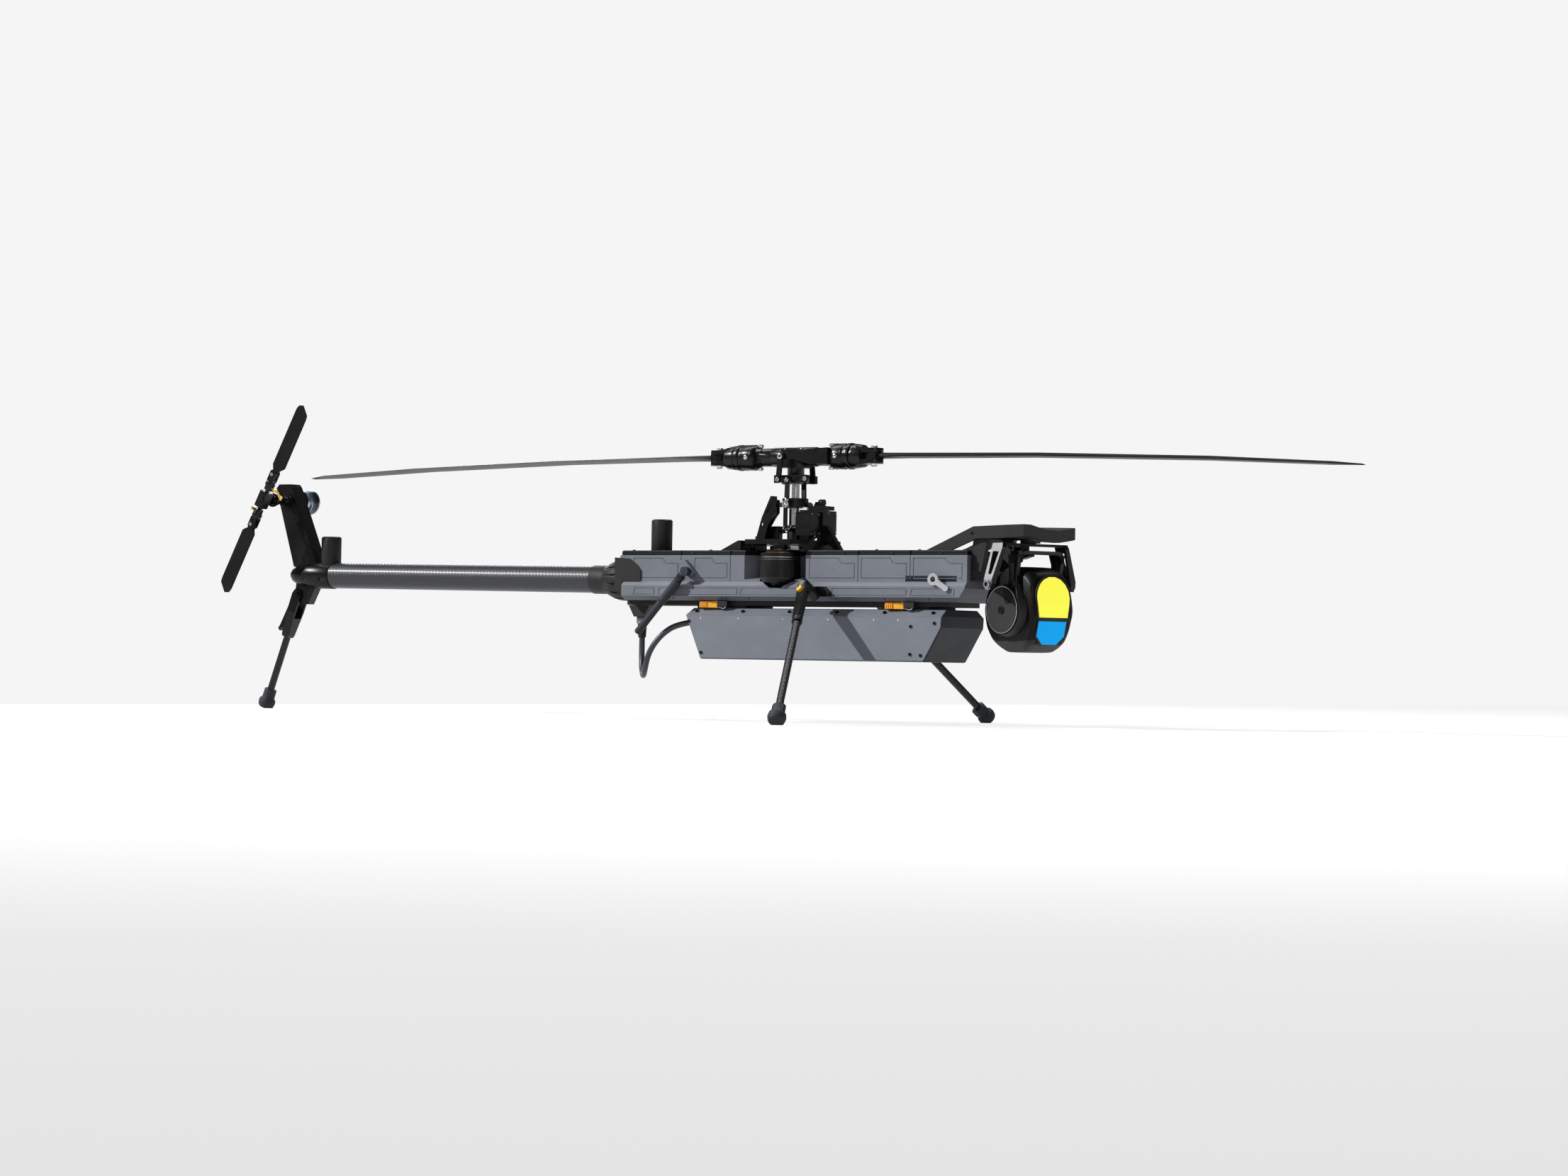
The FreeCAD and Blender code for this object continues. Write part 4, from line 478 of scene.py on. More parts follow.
SOFT_EDGES = {
    0.25: ["tail_slider"],
    0.3: ["servo_links", "pitch_links", "tail_hub", "upper_tail_grip", "lower_tail_grip"],
    0.35: ["mechanics_deck", "servos", "front_grip", "rear_grip", "front_latch", "rear_latch"],
    0.4: ["battery_cover", "boom_collar", "rotor_hub", "starboard_leg_arm", "port_leg_arm", "tail_leg_arm",
          "leg_brackets", "release_lever", "antenna_mounts"],
    0.5: ["fuselage_shell", "top_lid", "hanger_rail", "tail_pylon", "gimbal_yoke", "pan_frame"],
    0.6: ["belly_tub"],
    0.7: ["battery_case"],
    0.9: ["nose_visor"],
}


def soften(node, width):
    """Round a node's sharp edges by a given width in millimetres."""
    weld = node.modifiers.new("weld", "WELD")
    weld.merge_threshold = 0.01 * MM
    bevel = node.modifiers.new("edges", "BEVEL")
    bevel.width = width * MM
    bevel.segments = 2
    bevel.limit_method = "ANGLE"
    bevel.angle_limit = math.radians(32)
    bevel.harden_normals = True
    bevel.use_clamp_overlap = True


def dress_nodes():
    """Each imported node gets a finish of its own, or else the one named for its slot."""
    chosen = {name: finish for finish, names in NODE_FINISH.items() for name in names}
    slots = {row["node"]: row["material_slot"] for row in frame["record"]["subparts"]}
    for name, node in NODES.items():
        node.data.materials.clear()
        node.data.materials.append(FINISH[chosen.get(name, slots[name])])
    for width, names in SOFT_EDGES.items():
        for name in names:
            soften(NODES[name], width)


# ---- painted parts

def paint(name, finish, wanted, origin=(0, 0, 0), turn=None):
    """Give another finish to a node's faces whose middle p and normal n pass the test wanted(p, n)."""
    node = NODES[name]
    node.data.materials.append(FINISH[finish])
    index = len(node.data.materials) - 1
    inward = frame_of(origin, turn).inverted() @ node.matrix_world
    spin = inward.to_3x3().normalized()
    for face in node.data.polygons:
        if wanted(inward @ face.center, spin @ face.normal):
            face.material_index = index


def near_point(point, places, radius):
    return any((point - Vector(place)).length < radius for place in places)


def bolt_end(point, _):
    """The ends of the two bolts through a main blade grip."""
    inner = math.hypot(point.x - GRIP_BOLT, point.y) < 4.9 and abs(point.z) > 15.55
    outer = math.hypot(point.x - BLADE_BOLT, point.y) < 5.2 and abs(point.z) > 12.05
    return inner or outer


def paint_head():
    """Steel bolts and link balls of the rotor head."""
    for name, turn in (("front_grip", 0), ("rear_grip", 180)):
        paint(name, "bright_steel", bolt_end, HUB, Matrix.Rotation(math.radians(turn), 4, "Z"))
    swash, horns = [[(x, y, z) for x, y in LINK_BALLS] for z in (SWASH_Z, HORN_Z)]
    for name, balls, radius in (("swashplate_outer", swash, 3.2), ("swashplate_inner", DRIVER_BALLS, 3.7),
                                ("servo_links", swash + horns, 5.2), ("starboard_horn", horns, 3.4),
                                ("port_horn", horns, 3.4), ("rear_horn", horns, 3.4)):
        paint(name, "bright_steel", lambda p, n: near_point(p, balls, radius))


def paint_hull():
    """The release lever's slot, darkened as painted shade, then the whip's block, windings, the bell's edge,
    a cable collar and leg nuts.
    """
    # Painted shade: the slot's sloping faces by the release lever get the dark panel finish because they lie
    # in shadow.
    paint("fuselage_shell", "dark_panel",
          lambda p, n: 229.9 < p.x < 318.1 and 213.8 < p.z < 223.6 and abs(n.z) > 0.08 and abs(p.y) > 56)
    paint("antenna_mounts", "grey_panel", lambda p, n: -66.1 < p.y < -57.9 and p.z < 247)
    paint("motor_stators", "copper_wire", lambda p, n: p.x > -60 and p.z < 255.5 and abs(n.z) < 0.5)
    paint("motor_stators", "copper_wire", lambda p, n: p.x < -900 and 17 < p.y < 42)
    paint("main_motor_bell", "bright_steel", lambda p, n: 249.5 < p.z < 251.3)
    paint("cable_ends", "dull_steel", lambda p, n: p.x < -255 and 147.9 < p.z < 153)
    for _, word in SIDES:
        paint(f"{word}_leg_arm", "dull_steel", lambda p, n: p.x > 4.9 and math.hypot(p.y, p.z) < 5.4,
              LEG_PIVOT[word], LEG_TURN[word])


def paint_tail():
    """Gold pitch slider and grip arms, steel blade bolts and the tail motor's black band."""
    paint("tail_slider", "gold", lambda p, n: math.hypot(p.x, p.z) > 15.5, TAIL_ROTOR, TAIL_TURN)
    for name, turn in (("upper_tail_grip", 0), ("lower_tail_grip", 180)):
        flipped = TAIL_TURN @ Matrix.Rotation(math.radians(turn), 4, "Y")
        paint(name, "bright_steel",
              lambda p, n: abs(p.y - TAIL_GRIP_Y) > 5.55 and math.hypot(p.x, p.z - 46) < 3.2,
              TAIL_ROTOR, flipped)
        paint(name, "gold", lambda p, n: p.x > 10 and p.z < 26, TAIL_ROTOR, flipped)
    paint("tail_motor_bell", "black_metal", lambda p, n: 27.2 < p.y < 47.4 and math.hypot(p.x, p.z) > 20,
          TAIL_ROTOR, TAIL_TURN)


def paint_gimbal():
    """The lower window, the yoke's side caps and the bare face of the hanging arm."""
    place = (GIMBAL, GIMBAL_TURN)
    paint("camera_windows", "blue_window", lambda p, n: p.z < -13, *place)
    paint("gimbal_yoke", "head_band", lambda p, n: abs(p.y) > 53.6 and abs(n.y) > 0.9, *place)
    paint("pan_frame", "machined", lambda p, n: p.y < -56 and n.y < -0.8 and p.z < 94.5, *place)


# ---- detail pieces

def round_angles(count, first=0.0):
    """Equal steps round a circle, starting a share of a step past the first axis."""
    return [math.tau * (step + first) / count for step in range(count)]


def axis_frame(base, axis):
    """A frame whose third axis runs along the given axis from base."""
    turn = Vector(axis).to_track_quat("Z", "Y").to_matrix().to_4x4()
    return Matrix.Translation(Vector(base)) @ turn


def smooth_path(points, steps=8):
    """Points on a smooth line through the given ones."""
    ends = [points[0] * 2 - points[1]] + points + [points[-1] * 2 - points[-2]]
    path = []
    for a, b, c, d in zip(ends, ends[1:], ends[2:], ends[3:]):
        for step in range(steps):
            t = step / steps
            path.append(0.5 * (b * 2 + (c - a) * t + (a * 2 - b * 5 + c * 4 - d) * t * t
                               + (b * 3 - a - c * 3 + d) * t ** 3))
    return path + [points[-1]]


def read_across(table, value):
    """The second entry of a rising table at a value of its first. Its last straight line runs on."""
    for (low, near), (high, far) in zip(table, table[1:]):
        if value <= high:
            break
    return near + (far - near) * (value - low) / (high - low)


class Piece:
    """A mesh piece drawn in millimetres in a frame of its own."""

    def __init__(self, origin=(0, 0, 0), turn=None):
        self.mesh = bmesh.new()
        self.frame = frame_of(origin, turn)

    def skin(self, rings, closed=False):
        """Join rings of points, then close the ends or lead the last ring back to the first."""
        rows = [[self.mesh.verts.new(point) for point in ring] for ring in rings]
        pairs = list(zip(rows, rows[1:]))
        if closed:
            pairs.append((rows[-1], rows[0]))
        for near, far in pairs:
            for i in range(len(near)):
                j = (i + 1) % len(near)
                self.mesh.faces.new((near[i], near[j], far[j], far[i]))
        if not closed:
            self.mesh.faces.new(rows[0][::-1])
            self.mesh.faces.new(rows[-1])
        return self

    def lathe(self, base, axis, profile, sides=28, closed=False):
        """Turn (radius, length) pairs about an axis through base."""
        spin = axis_frame(base, axis)
        return self.skin([[spin @ Vector((radius * math.cos(a), radius * math.sin(a), length))
                           for a in round_angles(sides)] for radius, length in profile], closed)

    def washer(self, base, axis, inner, outer, height):
        edge = min(0.25, height / 4)
        profile = [(inner, 0), (outer, 0), (outer, height - edge), (outer - edge, height),
                   (inner + edge, height), (inner, height - edge)]
        return self.lathe(base, axis, profile, closed=True)

    def screw(self, base, axis, radius, height, sides=24):
        """A round-headed screw with a hexagon socket."""
        spin = axis_frame(base, axis)
        rings = []
        for reach, length in ((radius, 0), (radius, height * 0.7), (radius * 0.86, height)):
            rings.append([spin @ Vector((reach * math.cos(a), reach * math.sin(a), length))
                          for a in round_angles(sides)])
        for length in (height, height * 0.35):
            ring = []
            for angle in round_angles(sides):
                reach = radius * 0.46 / math.cos(angle % (math.pi / 3) - math.pi / 6)
                ring.append(spin @ Vector((reach * math.cos(angle), reach * math.sin(angle), length)))
            rings.append(ring)
        return self.skin(rings)

    def slab(self, outline, near, far, upright=False):
        """A plate from near to far: its outline is in x and y, or in x and z where it stands upright."""
        return self.skin([[Vector((u, w, v) if upright else (u, v, w)) for u, v in outline]
                          for w in (near, far)])

    def tube(self, route, radius, sides=10):
        """A round lead along a smooth line through the route's points."""
        path = smooth_path([Vector(point) for point in route])
        rings = []
        aside = None
        for i, point in enumerate(path):
            run = (path[min(i + 1, len(path) - 1)] - path[max(i - 1, 0)]).normalized()
            if aside is None:
                aside = run.orthogonal()
            aside = (aside - run * aside.dot(run)).normalized()
            other = run.cross(aside)
            rings.append([point + aside * (radius * math.cos(a)) + other * (radius * math.sin(a))
                          for a in round_angles(sides)])
        return self.skin(rings)

    def mark(self, wanted):
        """Give the second finish to faces whose middle passes the test."""
        for face in self.mesh.faces:
            face.material_index = int(wanted(face.calc_center_median()))

    def place(self, name, finish, body, slot, bevel=0.0, second=None):
        """Set the piece in its place, on its body."""
        bmesh.ops.recalc_face_normals(self.mesh, faces=self.mesh.faces)
        data = bpy.data.meshes.new(name)
        self.mesh.transform(self.frame)
        self.mesh.to_mesh(data)
        self.mesh.free()
        data.shade_smooth()
        data.set_sharp_from_angle(angle=math.radians(35))
        made = new_object(name, data)
        data.materials.append(FINISH[finish])
        if second:
            data.materials.append(FINISH[second])
        if bevel:
            edges = made.modifiers.new("edges", "BEVEL")
            edges.width = bevel * MM
            edges.segments = 2
            edges.angle_limit = math.radians(35)
        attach(made, body)
        return made


# ---- camera head

def gimbal_piece():
    return Piece(GIMBAL, GIMBAL_TURN)


# How far forward the head's window face stands, as (height, depth) from its middle.
WINDOW_FACE = ((-63, 23), (-50.5, 43.5), (-16, 51.2), (-11, 53.5), (10, 53.5), (48, 49.5), (57, 44),
               (65, 29))
RIM_WIDTH = 2.6
RIM_SUNK = -0.6
RIM_PROUD = 1.0


def window_rim(outline):
    """A raised frame round a window, following the front of the camera head."""
    middle = sum((Vector(point) for point in outline), Vector((0, 0))) / len(outline)
    grown = []
    for i, point in enumerate(outline):
        run = (Vector(outline[(i + 1) % len(outline)]) - Vector(outline[i - 1])).normalized()
        out = Vector((run.y, -run.x))
        if out.dot(Vector(point) - middle) < 0:
            out = -out
        grown.append(Vector(point) + out * RIM_WIDTH)
    corners = ((outline, RIM_SUNK), (outline, RIM_PROUD), (grown, RIM_PROUD), (grown, RIM_SUNK))
    return [[Vector((read_across(WINDOW_FACE, v) + lift, u, v)) for u, v in points]
            for points, lift in corners]


def window_outlines():
    """The two windows' edges: an arch over straight sides, and a six-cornered pane below."""
    half, low, high = 31.5, -10.8, 49.7
    arc = [(half * math.cos(math.radians(a)), high - half + half * math.sin(math.radians(a)))
           for a in range(0, 181, 9)]
    sides = [(half * 0.97, 8), (half * 0.9, low)]
    upper = [(-u, v) for u, v in sides] + [(0, low)] + sides[::-1] + arc
    lower = [(-13.4, -50.6), (13.4, -50.6), (26.7, -37.9), (26.7, -16.1), (-26.7, -16.1), (-26.7, -37.9)]
    return upper, lower


# The yoke's front, as (height, depth) from the gimbal's middle.
YOKE_FRONT = ((20, 34.9), (26, 30), (33, 25.2), (40, 22.8), (50, 21.6), (60, 22.6), (72, 25.8), (87, 29))
# How far out the yoke's arm reaches, as (height, outside).
YOKE_ARM = ((65, 44.4), (58, 44.5), (51, 45), (45, 45.8), (39, 47), (33, 48.6), (28, 50), (24, 51.4))
YOKE_INSIDE = 38.6
YOKE_BAND = 2  # thickness


def yoke_stations():
    """Half of the yoke's front band: inner and outer (y, height), then (y, radius) and angle at the cap."""
    stations = [((0, 82), (0, 87.4), None), ((14, 82), (15, 87.4), None)]
    for angle in range(90, -1, -15):
        across, up = math.cos(math.radians(angle)), math.sin(math.radians(angle))
        stations.append(((28.6 + 10 * across, 72 + 10 * up), (30 + 14.4 * across, 73 + 14.4 * up), None))
    stations += [((YOKE_INSIDE, height), (outside, height), None) for height, outside in YOKE_ARM]
    stations += [((YOKE_INSIDE, 40.3), (52.4, 37.1), angle) for angle in range(30, -151, -10)]
    return stations


def yoke_ring(station, side):
    """The band's cross-section at one station: front edge points, then back ones."""
    inner, outer, angle = station
    ring = []
    for corners, depth in (((inner, outer), 0), ((outer, inner), -YOKE_BAND)):
        for y, reach in corners:
            if angle is None:
                ring.append(Vector((read_across(YOKE_FRONT, reach) + depth, side * y, reach)))
            else:
                turn = math.radians(angle)
                length = reach + depth
                ring.append(Vector((length * math.cos(turn), side * y, length * math.sin(turn))))
    return ring


def yoke_band():
    half = yoke_stations()
    rings = [yoke_ring(station, -1) for station in reversed(half[1:])]
    rings += [yoke_ring(station, 1) for station in half]
    band = gimbal_piece().skin(rings)
    band.place("yoke_band", "head_band", "gimbal_roll", "black_plastic", 0.5)


# The head's largest reach at each distance from its middle plane, and its outline from the side.
HEAD_ROUND = ((0, 72), (12, 71.7), (24, 70.5), (31, 65.5), (35, 61), (38, 56))
HEAD_SIDE = ((23, -63), (43.4, -50.5), (51.1, -16), (53.4, -11), (53.4, 10), (49.4, 48), (44, 57), (29, 65),
             (-17, 65), (-45, 47), (-59, 27), (-65, 0), (-59, -27), (-45, -47), (-16, -63))
HEAD_SECTIONS = (8, 16, 22, 26, 27.5, 29, 31, 33, 35, 36.5, 38)
HEAD_CHEEK = 38
ROUNDING = 16  # power of the soft step from outline to rounding
CHIN_DEPTH = 64
CHIN_EDGE = 26  # half the width of the chin's flat
CHIN_SLOPE = 20 / 13


def side_reach(angle):
    """How far the head's side outline stands from its middle in a direction."""
    ray = Vector((math.cos(angle), math.sin(angle)))
    for start, end in zip(HEAD_SIDE, HEAD_SIDE[1:] + HEAD_SIDE[:1]):
        a, run = Vector(start), Vector(end) - Vector(start)
        cross = ray.x * run.y - ray.y * run.x
        if abs(cross) < 1e-9:
            continue
        along = (a.x * run.y - a.y * run.x) / cross
        share = (a.x * ray.y - a.y * ray.x) / cross
        if along > 0 and -1e-9 <= share <= 1 + 1e-9:
            return along
    raise ValueError("the head's outline is open")


def head_ring(y, sides=120):
    """One section of the head: its side outline, rounded in towards the cheeks and the chin."""
    ring = []
    limit = read_across(HEAD_ROUND, abs(y))
    chin = CHIN_DEPTH - max(0.0, abs(y) - CHIN_EDGE) * CHIN_SLOPE
    for angle in round_angles(sides):
        reach = (side_reach(angle) ** -ROUNDING + limit ** -ROUNDING) ** (-1 / ROUNDING)
        if reach * math.sin(angle) < -chin:
            reach = chin / -math.sin(angle)
        ring.append(Vector((reach * math.cos(angle), y, reach * math.sin(angle))))
    return ring


def camera_shell():
    """The camera head's smooth shell, with a coarser chin and a boss at each cheek."""
    shell = gimbal_piece()
    places = [-y for y in reversed(HEAD_SECTIONS)] + [0, *HEAD_SECTIONS]
    shell.skin([head_ring(y) for y in places])
    for side, _ in SIDES:
        shell.lathe((0, side * HEAD_CHEEK, 0), (0, side, 0), [(6, -1), (6, 6.4)])
    shell.mark(lambda middle: middle.z < -50.8 or (middle.z < -44 and abs(middle.y) > CHIN_EDGE))
    made = shell.place("camera_shell", "head_shell", "camera_head", "black_plastic", second="head_band")
    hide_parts("camera_ball")


def gimbal_screws():
    """Rims, washers and screws at the yoke's side caps, the hanging arms and the brow."""
    for side, word in SIDES:
        out = (0, side, 0)
        cap = (0, side * 55.4, 0)
        arm = (0, side * 84, 37)
        gimbal_piece().washer((0, side * 53.8, 0), out, 33.9, 34.9, 0.7).place(
            f"{word}_tilt_rim", "machined", "gimbal_roll", "black_plastic")
        gimbal_piece().washer(cap, out, 3.6, 6.0, 0.7).place(
            f"{word}_tilt_washer", "black_metal", "gimbal_roll", "black_plastic")
        gimbal_piece().screw(cap, out, 3.5, 1.3).place(
            f"{word}_tilt_screw", "black_metal", "gimbal_roll", "black_plastic")
        gimbal_piece().washer(arm, out, 3.4, 6.3, 0.9).place(
            f"{word}_arm_washer", "bright_steel", "gimbal_frame", "aluminium")
        gimbal_piece().screw(arm, out, 3.3, 1.6).place(
            f"{word}_arm_screw", "black_metal", "gimbal_frame", "black_metal")
        Piece().screw((339, side * 52, 286), out, 2.4, 1.1).place(
            f"{word}_brow_screw", "black_metal", "airframe", "black_metal")


def gimbal_details():
    yoke_band()
    camera_shell()
    for name, outline in zip(("upper_window_rim", "lower_window_rim"), window_outlines()):
        rim = gimbal_piece().skin(window_rim(outline), closed=True)
        rim.place(name, "head_band", "camera_head", "black_plastic")
    gimbal_screws()


# ---- rotor head

def grip_details():
    """Bolts, bands and pins of the two blade grips."""
    for turn, word in ((0, "front"), (180, "rear")):
        spin = Matrix.Rotation(math.radians(turn), 4, "Z")
        body = f"{word}_grip_body"
        for up, place in ((1, "upper"), (-1, "lower")):
            Piece(HUB, spin).screw((BLADE_BOLT, 0, up * 14.5), (0, 0, up), 4.9, 1.6).place(
                f"{word}_{place}_blade_bolt", "bright_steel", body, "bright_steel")
            Piece(HUB, spin).screw((GRIP_BOLT, 0, up * 19), (0, 0, up), 4.1, 1.2).place(
                f"{word}_{place}_grip_bolt", "bright_steel", body, "bright_steel")
        bands = Piece(HUB, spin)
        for x in (73, 88.2):
            bands.washer((x, 0, 0), ALONG_X, GRIP_RADIUS - 0.5, GRIP_RADIUS + 0.25, 1.0)
        bands.place(f"{word}_grip_bands", "black_metal", body, "black_metal")
        pins = Piece(HUB, spin)
        for side, _ in SIDES:
            pins.lathe((80, side * 19.2, 0), (0, side, 0), [(3.4, 0), (3.4, 0.9), (2.8, 1.3)])
        pins.place(f"{word}_grip_pins", "bright_steel", body, "bright_steel")


def link_details():
    """Screws at the ends of the pitch links and of the swashplate's followers."""
    link_screws = Piece()
    follower_screws = Piece()
    for side, _ in SIDES:
        out = (0, side, 0)
        link_screws.screw((-side * 4.4, side * 34.5, 369), out, 3.4, 1.4)
        link_screws.screw((side * 11, side * 36.5, 370), out, 3.4, 1.4)
        link_screws.screw((side * 8, side * 35, 405.6), out, 4.4, 1.2)
        follower_screws.screw((-side * 33, side * 28, 371), out, 3.6, 1.4)
    link_screws.place("link_screws", "bright_steel", "swash_turning", "bright_steel")
    follower_screws.place("follower_screws", "dull_steel", "rotor", "black_metal")


def hub_details():
    """The mast's end bolt and four small screws on top of the hub."""
    screws = Piece(HUB)
    screws.screw((0, 0, HUB_TOP), ALONG_Z, 5.2, 3.0)
    for x in (-14, 14):
        for y in (-8, 8):
            screws.screw((x, y, HUB_TOP), ALONG_Z, 2.3, 1.6)
    screws.place("hub_screws", "bright_steel", "rotor", "bright_steel")


# The two side servos: sides (y) and ends (z) of each.
SERVOS = {"starboard": ((-37, -9), (284, 320.2)), "port": ((12, 41), (287, 323.4))}
SERVO_BACK = 23
SERVO_FACE = 50
SCREW_INSET = 3.4
SEAM_INSET = 7.5
SEAM_PROUD = 0.1
SEAM_HEIGHT = 0.5


def servo_details():
    """Corner screws and case seams of the two side servos, and the leads of one."""
    for word, ((y0, y1), (low, high)) in SERVOS.items():
        screws = Piece()
        for y in (y0 + SCREW_INSET, y1 - SCREW_INSET):
            for z in (low + SCREW_INSET, high - SCREW_INSET):
                screws.screw((SERVO_FACE, y, z), ALONG_X, 1.5, 0.9)
        screws.place(f"{word}_servo_screws", "dull_steel", "airframe", "dark_panel")
        seams = Piece()
        back, face = SERVO_BACK - SEAM_PROUD, SERVO_FACE + 0.15
        left, right = y0 - SEAM_PROUD, y1 + SEAM_PROUD
        for z in (low + SEAM_INSET, high - SEAM_INSET):
            seams.slab([(back, left), (face, left), (face, right), (back, right)], z, z + SEAM_HEIGHT)
        seams.place(f"{word}_servo_seams", "dark_panel", "airframe", "dark_panel")
    leads = Piece()
    for step in range(3):
        y = -31 + 1.9 * step
        leads.tube([(SERVO_FACE, y, 290), (55, y - 1, 288), (57, y - 3, 281), (52, y - 5, 277.8)], 0.8)
    leads.place("servo_leads", "black_plastic", "airframe", "black_plastic")


def motor_details():
    """Coils, clamp screws and a band of the main motor."""
    x, y = MAIN_MOTOR
    coils = Piece()
    coil = [(2.0, 0), (4.6, 0.3), (4.6, 2.2), (2.0, 2.5)]
    for angle in round_angles(12):
        out = (math.cos(angle), math.sin(angle), 0)
        coils.lathe((x + 23.3 * out[0], y + 23.3 * out[1], 240), out, coil, 16)
    coils.place("main_motor_coils", "copper_wire", "airframe", "aluminium")
    screws = Piece()
    for angle in round_angles(8, 0.5):
        screws.screw((x + 20 * math.cos(angle), y + 20 * math.sin(angle), 261.2), ALONG_Z, 1.9, 1.2)
    screws.place("main_motor_screws", "bright_steel", "airframe", "aluminium")
    band = Piece().washer((x, y, 246.4), ALONG_Z, 30.8, 31.2, 0.5)
    band.place("main_motor_bands", "dull_steel", "motor_rotor", "aluminium")


# ---- tail, hull, legs, whip

def tail_details():
    """Coils and bands of the tail motor, and the pylon's screws and rib."""
    coils = Piece(TAIL_ROTOR, TAIL_TURN)
    coil = [(1.6, 0), (3.3, 0.3), (3.3, 2.0), (1.6, 2.3)]
    for angle in round_angles(9):
        out = (math.cos(angle), 0, math.sin(angle))
        coils.lathe((12.6 * out[0], 22.2, 12.6 * out[2]), out, coil, 14)
    coils.place("tail_motor_coils", "copper_wire", "airframe", "aluminium")
    bands = Piece(TAIL_ROTOR, TAIL_TURN)
    for y, height in ((27.4, 2.2), (32.5, 0.6), (44.6, 2.4)):
        bands.washer((0, y, 0), ALONG_Y, 20.1, 20.85, height)
    bands.place("tail_motor_bands", "blue_metal", "tail_rotor", "aluminium")
    screws = Piece()
    for x, z in ((-972, 341), (-926, 248)):
        screws.screw((x, -13.7, z), (0, -1, 0), 2.1, 1.0)
    screws.place("pylon_screws", "black_metal", "airframe", "black_metal")
    rib = Piece().slab([(-941, 241), (-934.5, 241), (-978.5, 345), (-984, 345)], -13.9, -13.3, upright=True)
    rib.place("pylon_rib", "black_metal", "airframe", "black_metal", 0.2)


LATCH_HOOK = ((3, -7, -4.4), (8, -7.4, -5.2), (13, -7.6, -5.8), (15.5, -6.8, -3), (13.5, -6.4, 0),
              (3, -6.8, 0.6))
LATCHES = {"rear": (-105, -47.4, 178), "front": (225, -47.4, 178)}
LID_CLIPS = (-226, -150, -30, 30, 120, 205, 290)  # x of each pair
MOTOR_BAY = 56  # half its length, with no clips over it
CASE_RIVETS = (-128, -60, 20, 100, 180, 222)  # x of each pair


def latch_details():
    """The wire hooks at the two case latches, which stay with the hull."""
    for word, place in LATCHES.items():
        hook = Piece(place).tube(LATCH_HOOK, 0.9)
        hook.place(f"{word}_latch_hook", "bright_steel", "airframe", "bright_steel")


def hull_details():
    """Clips along the lid's edges, none over the motor bay, and rivets along the case's flange."""
    clips = Piece()
    for x in LID_CLIPS:
        outline = [(x - 4.5, 252.2), (x + 4.5, 252.2), (x + 3.6, 256.6), (x - 3.6, 256.6)]
        for side, _ in SIDES:
            if side > 0 or abs(x) > MOTOR_BAY:
                clips.slab(outline, side * 55.9, side * 56.9, upright=True)
    clips.place("lid_clips", "black_metal", "airframe", "black_plastic", 0.25)
    rivets = Piece()
    for side, _ in SIDES:
        for x in CASE_RIVETS:
            rivets.lathe((x, side * 63.2, 155.5), (0, side, 0), [(1.3, 0), (1.3, 0.3), (0.8, 0.55)], 14)
    rivets.place("case_rivets", "dull_steel", "airframe", "bright_steel")


def leg_details():
    """The pivot's screw and the tube's ferrule bands on each front leg."""
    for _, word in SIDES:
        here = (LEG_PIVOT[word], LEG_TURN[word])
        screw = Piece(*here).screw((6.8, 0, 0), ALONG_X, 3.6, 1.4)
        screw.place(f"{word}_leg_screw", "bright_steel", f"{word}_leg", "bright_steel")
        bands = Piece(*here)
        for z in (-88.2, -84.5):
            bands.washer((0, 0, z), ALONG_Z, 7.2, 8.0, 1.4)
        bands.place(f"{word}_ferrule_bands", "black_metal", f"{word}_leg", "black_metal")


def whip_details():
    """Two eight-sided knuckles on the whip, whose frame has its first axis along it."""
    turn = Vector(ALONG_X).rotation_difference(Vector(WHIP_RUN)).to_matrix().to_4x4()
    knuckles = Piece(WHIP_BASE, turn)
    radius, edge = 6.9, 0.5
    for x, length in ((9.2, 6.4), (60, 3.2)):
        profile = [(radius - edge, 0), (radius, edge), (radius, length - edge), (radius - edge, length)]
        knuckles.lathe((x, 0, 0), ALONG_X, profile, 8)
    knuckles.place("whip_knuckles", "black_metal", "whip", "rubber")


def add_details():
    for step in (paint_head, paint_hull, paint_tail, paint_gimbal, gimbal_details, grip_details,
                 link_details, hub_details, servo_details, motor_details, tail_details, latch_details,
                 hull_details, leg_details, whip_details):
        step()


# ---- studio

BACKDROP = grey(0.913)
# The floor's axes turn with the camera: x to the right and y away from it, in metres.
FLOOR_REACH = 30.0
FLOOR_FADE = (-5.5, -3.9)  # y, from grey to white
FLOOR_END = (2.27, 2.28)  # y + FLOOR_END_SLOPE * x, from white to the backdrop's tone
FLOOR_END_SLOPE = -1.4227


def bare_tree(owner):
    owner.use_nodes = True
    owner.node_tree.nodes.clear()
    return Shader(owner.node_tree)


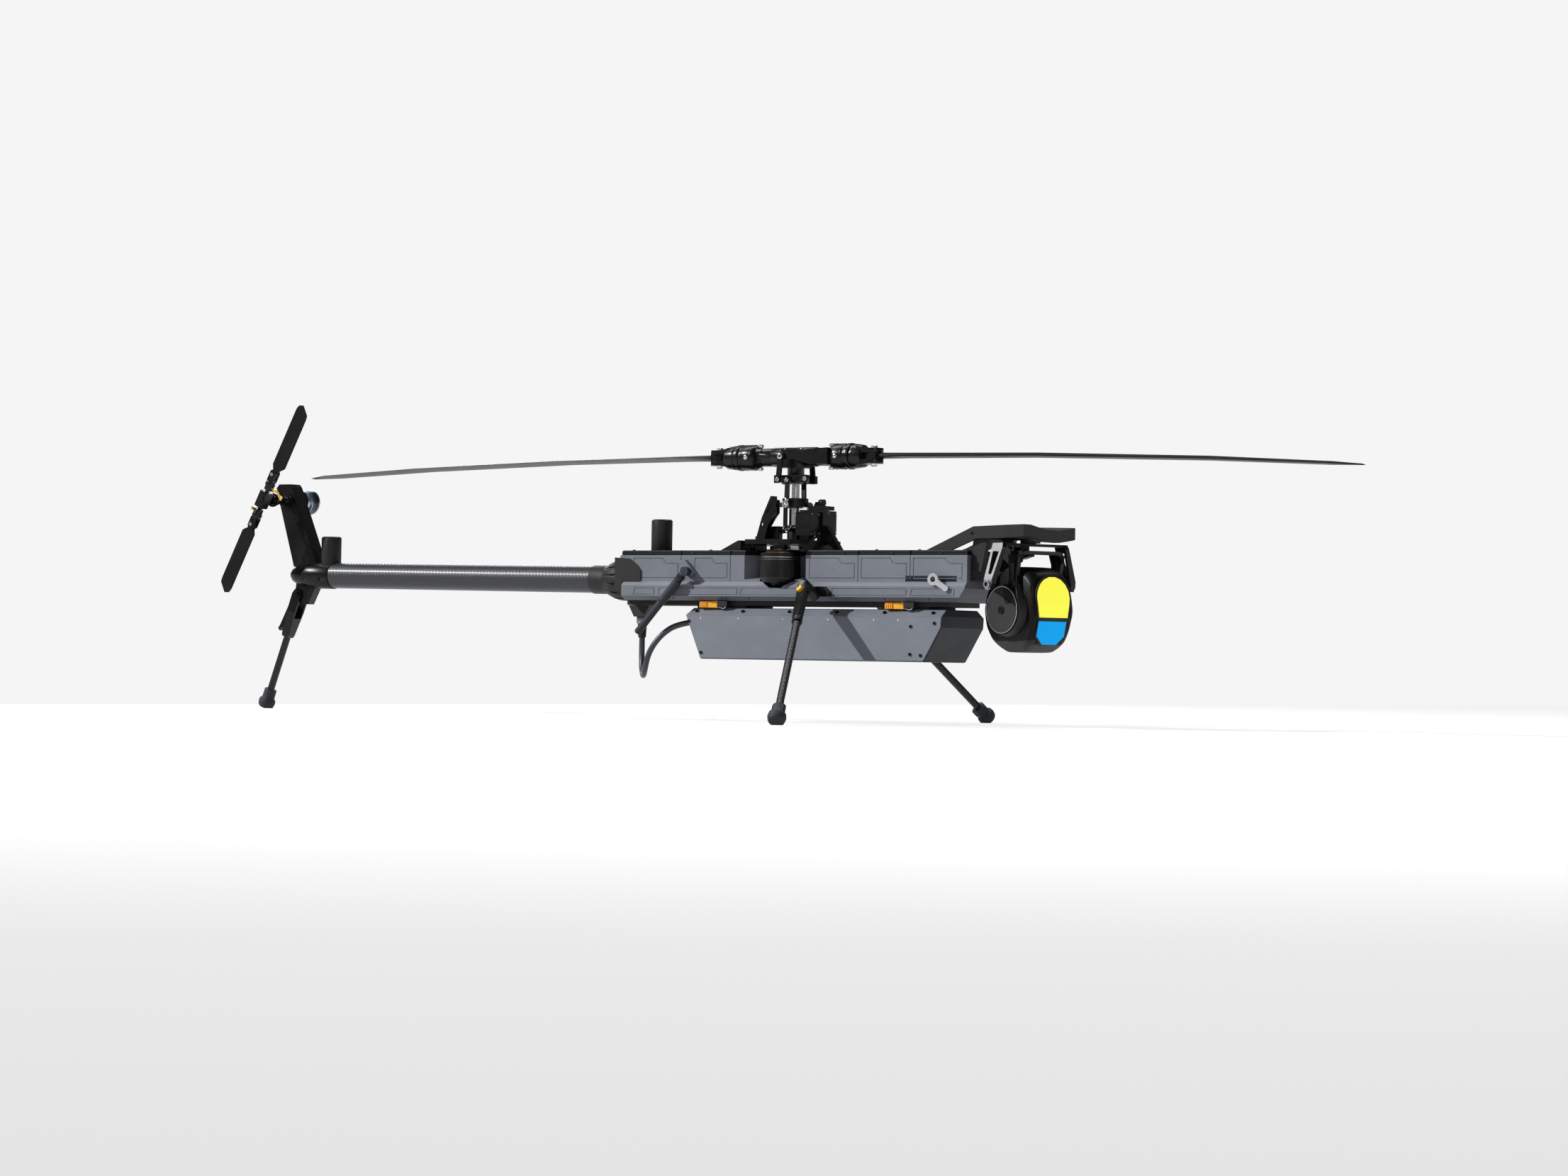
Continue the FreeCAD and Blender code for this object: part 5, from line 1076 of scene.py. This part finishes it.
def floor_material():
    """White round the object, greyer in front, and the backdrop's own tone beyond a slanting line."""
    material = bpy.data.materials.new("studio_floor")
    shader = bare_tree(material)
    x, y, _ = shader.split(shader.place())
    near = shader.blend(shader.span(y, *FLOOR_FADE), grey(0.79), grey(1.0))
    behind = shader.span(shader.math("MULTIPLY_ADD", x, FLOOR_END_SLOPE, y), *FLOOR_END)
    glow = shader.node("ShaderNodeEmission")
    shader.join(shader.blend(behind, near, BACKDROP), glow.inputs["Color"])
    path = shader.node("ShaderNodeLightPath").outputs
    seen = shader.math("MAXIMUM", path["Is Camera Ray"], path["Is Glossy Ray"])
    seen = shader.math("MAXIMUM", seen, path["Is Transmission Ray"])
    matte = shader.node("ShaderNodeBsdfDiffuse")
    shader.join(shader.blend(seen, grey(0.3), grey(0.86)), matte.inputs["Color"])
    mix = shader.node("ShaderNodeMixShader")
    glow_share = shader.math("MULTIPLY_ADD", behind, 0.4, 0.6)
    shader.join(shader.math("MULTIPLY", seen, glow_share), mix.inputs[0])
    shader.join(matte.outputs[0], mix.inputs[1])
    shader.join(glow.outputs[0], mix.inputs[2])
    shader.join(mix.outputs[0], shader.node("ShaderNodeOutputMaterial").inputs["Surface"])
    return material


def make_floor():
    """A wide pale floor, square to the camera."""
    corners = [(x * FLOOR_REACH, y * FLOOR_REACH, 0) for x, y in ((-1, -1), (1, -1), (1, 1), (-1, 1))]
    mesh = bpy.data.meshes.new("studio_floor")
    mesh.from_pydata(corners, [], [(0, 1, 2, 3)])
    mesh.materials.append(floor_material())
    floor = new_object("studio_floor", mesh)
    floor.rotation_euler = (0, 0, CAMERA_TURN)


def make_world():
    """An even pale backdrop, dimmer as a lamp than it looks, and dimmest overhead in reflections."""
    world = bpy.data.worlds.new("studio")
    bpy.context.scene.world = world
    shader = bare_tree(world)
    path = shader.node("ShaderNodeLightPath").outputs
    seen = shader.math("MAXIMUM", path["Is Camera Ray"], path["Is Transmission Ray"])
    height = shader.split(shader.node("ShaderNodeTexCoord").outputs["Generated"])[2]
    reflected = shader.span(height, 0.0, 0.7, 0.2, 0.06)
    lamp = shader.mix(path["Is Glossy Ray"], 0.2, reflected)
    back = shader.node("ShaderNodeBackground")
    back.inputs["Color"].default_value = (*BACKDROP, 1.0)
    shader.join(shader.mix(seen, lamp, 1.0), back.inputs["Strength"])
    shader.join(back.outputs[0], shader.node("ShaderNodeOutputWorld").inputs["Surface"])


MIDDLE = Vector((0, 0, 0.25))  # metres, as all of the lamps' places
SUN_OFFSET = Vector((-0.62, -0.56, 0.55)) * 4.0
SOFTBOXES = {
    "top_softbox": ((-0.4, 0.6, 2.6), 56, (3.6, 0.8)),
    "front_softbox": ((2.6, -3.4, 1.5), 24, (1.6, 1.0)),
    "rim_softbox": ((-2.4, 1.9, 1.3), 24, (1.5, 1.0)),
}


def aimed(name, kind, place, **settings):
    """A lamp turned towards the middle of the object."""
    data = bpy.data.lights.new(name, kind)
    for label, value in settings.items():
        setattr(data, label, value)
    lamp = new_object(name, data)
    lamp.location = place
    lamp.rotation_euler = (MIDDLE - Vector(place)).to_track_quat("-Z", "Y").to_euler()


def make_lights():
    aimed("key_sun", "SUN", MIDDLE + SUN_OFFSET, energy=3.6, angle=math.radians(0.8))
    for name, (place, energy, (width, height)) in SOFTBOXES.items():
        aimed(name, "AREA", place, energy=energy, shape="RECTANGLE", size=width, size_y=height)


# ---- scene

painted_panels()
black_plastics()
soft_and_clear()
metals()
carbon_tubes()
make_camera()
make_cable()
dress_nodes()
add_details()
make_floor()
make_world()
make_lights()
bpy.context.scene.view_settings.view_transform = "Standard"
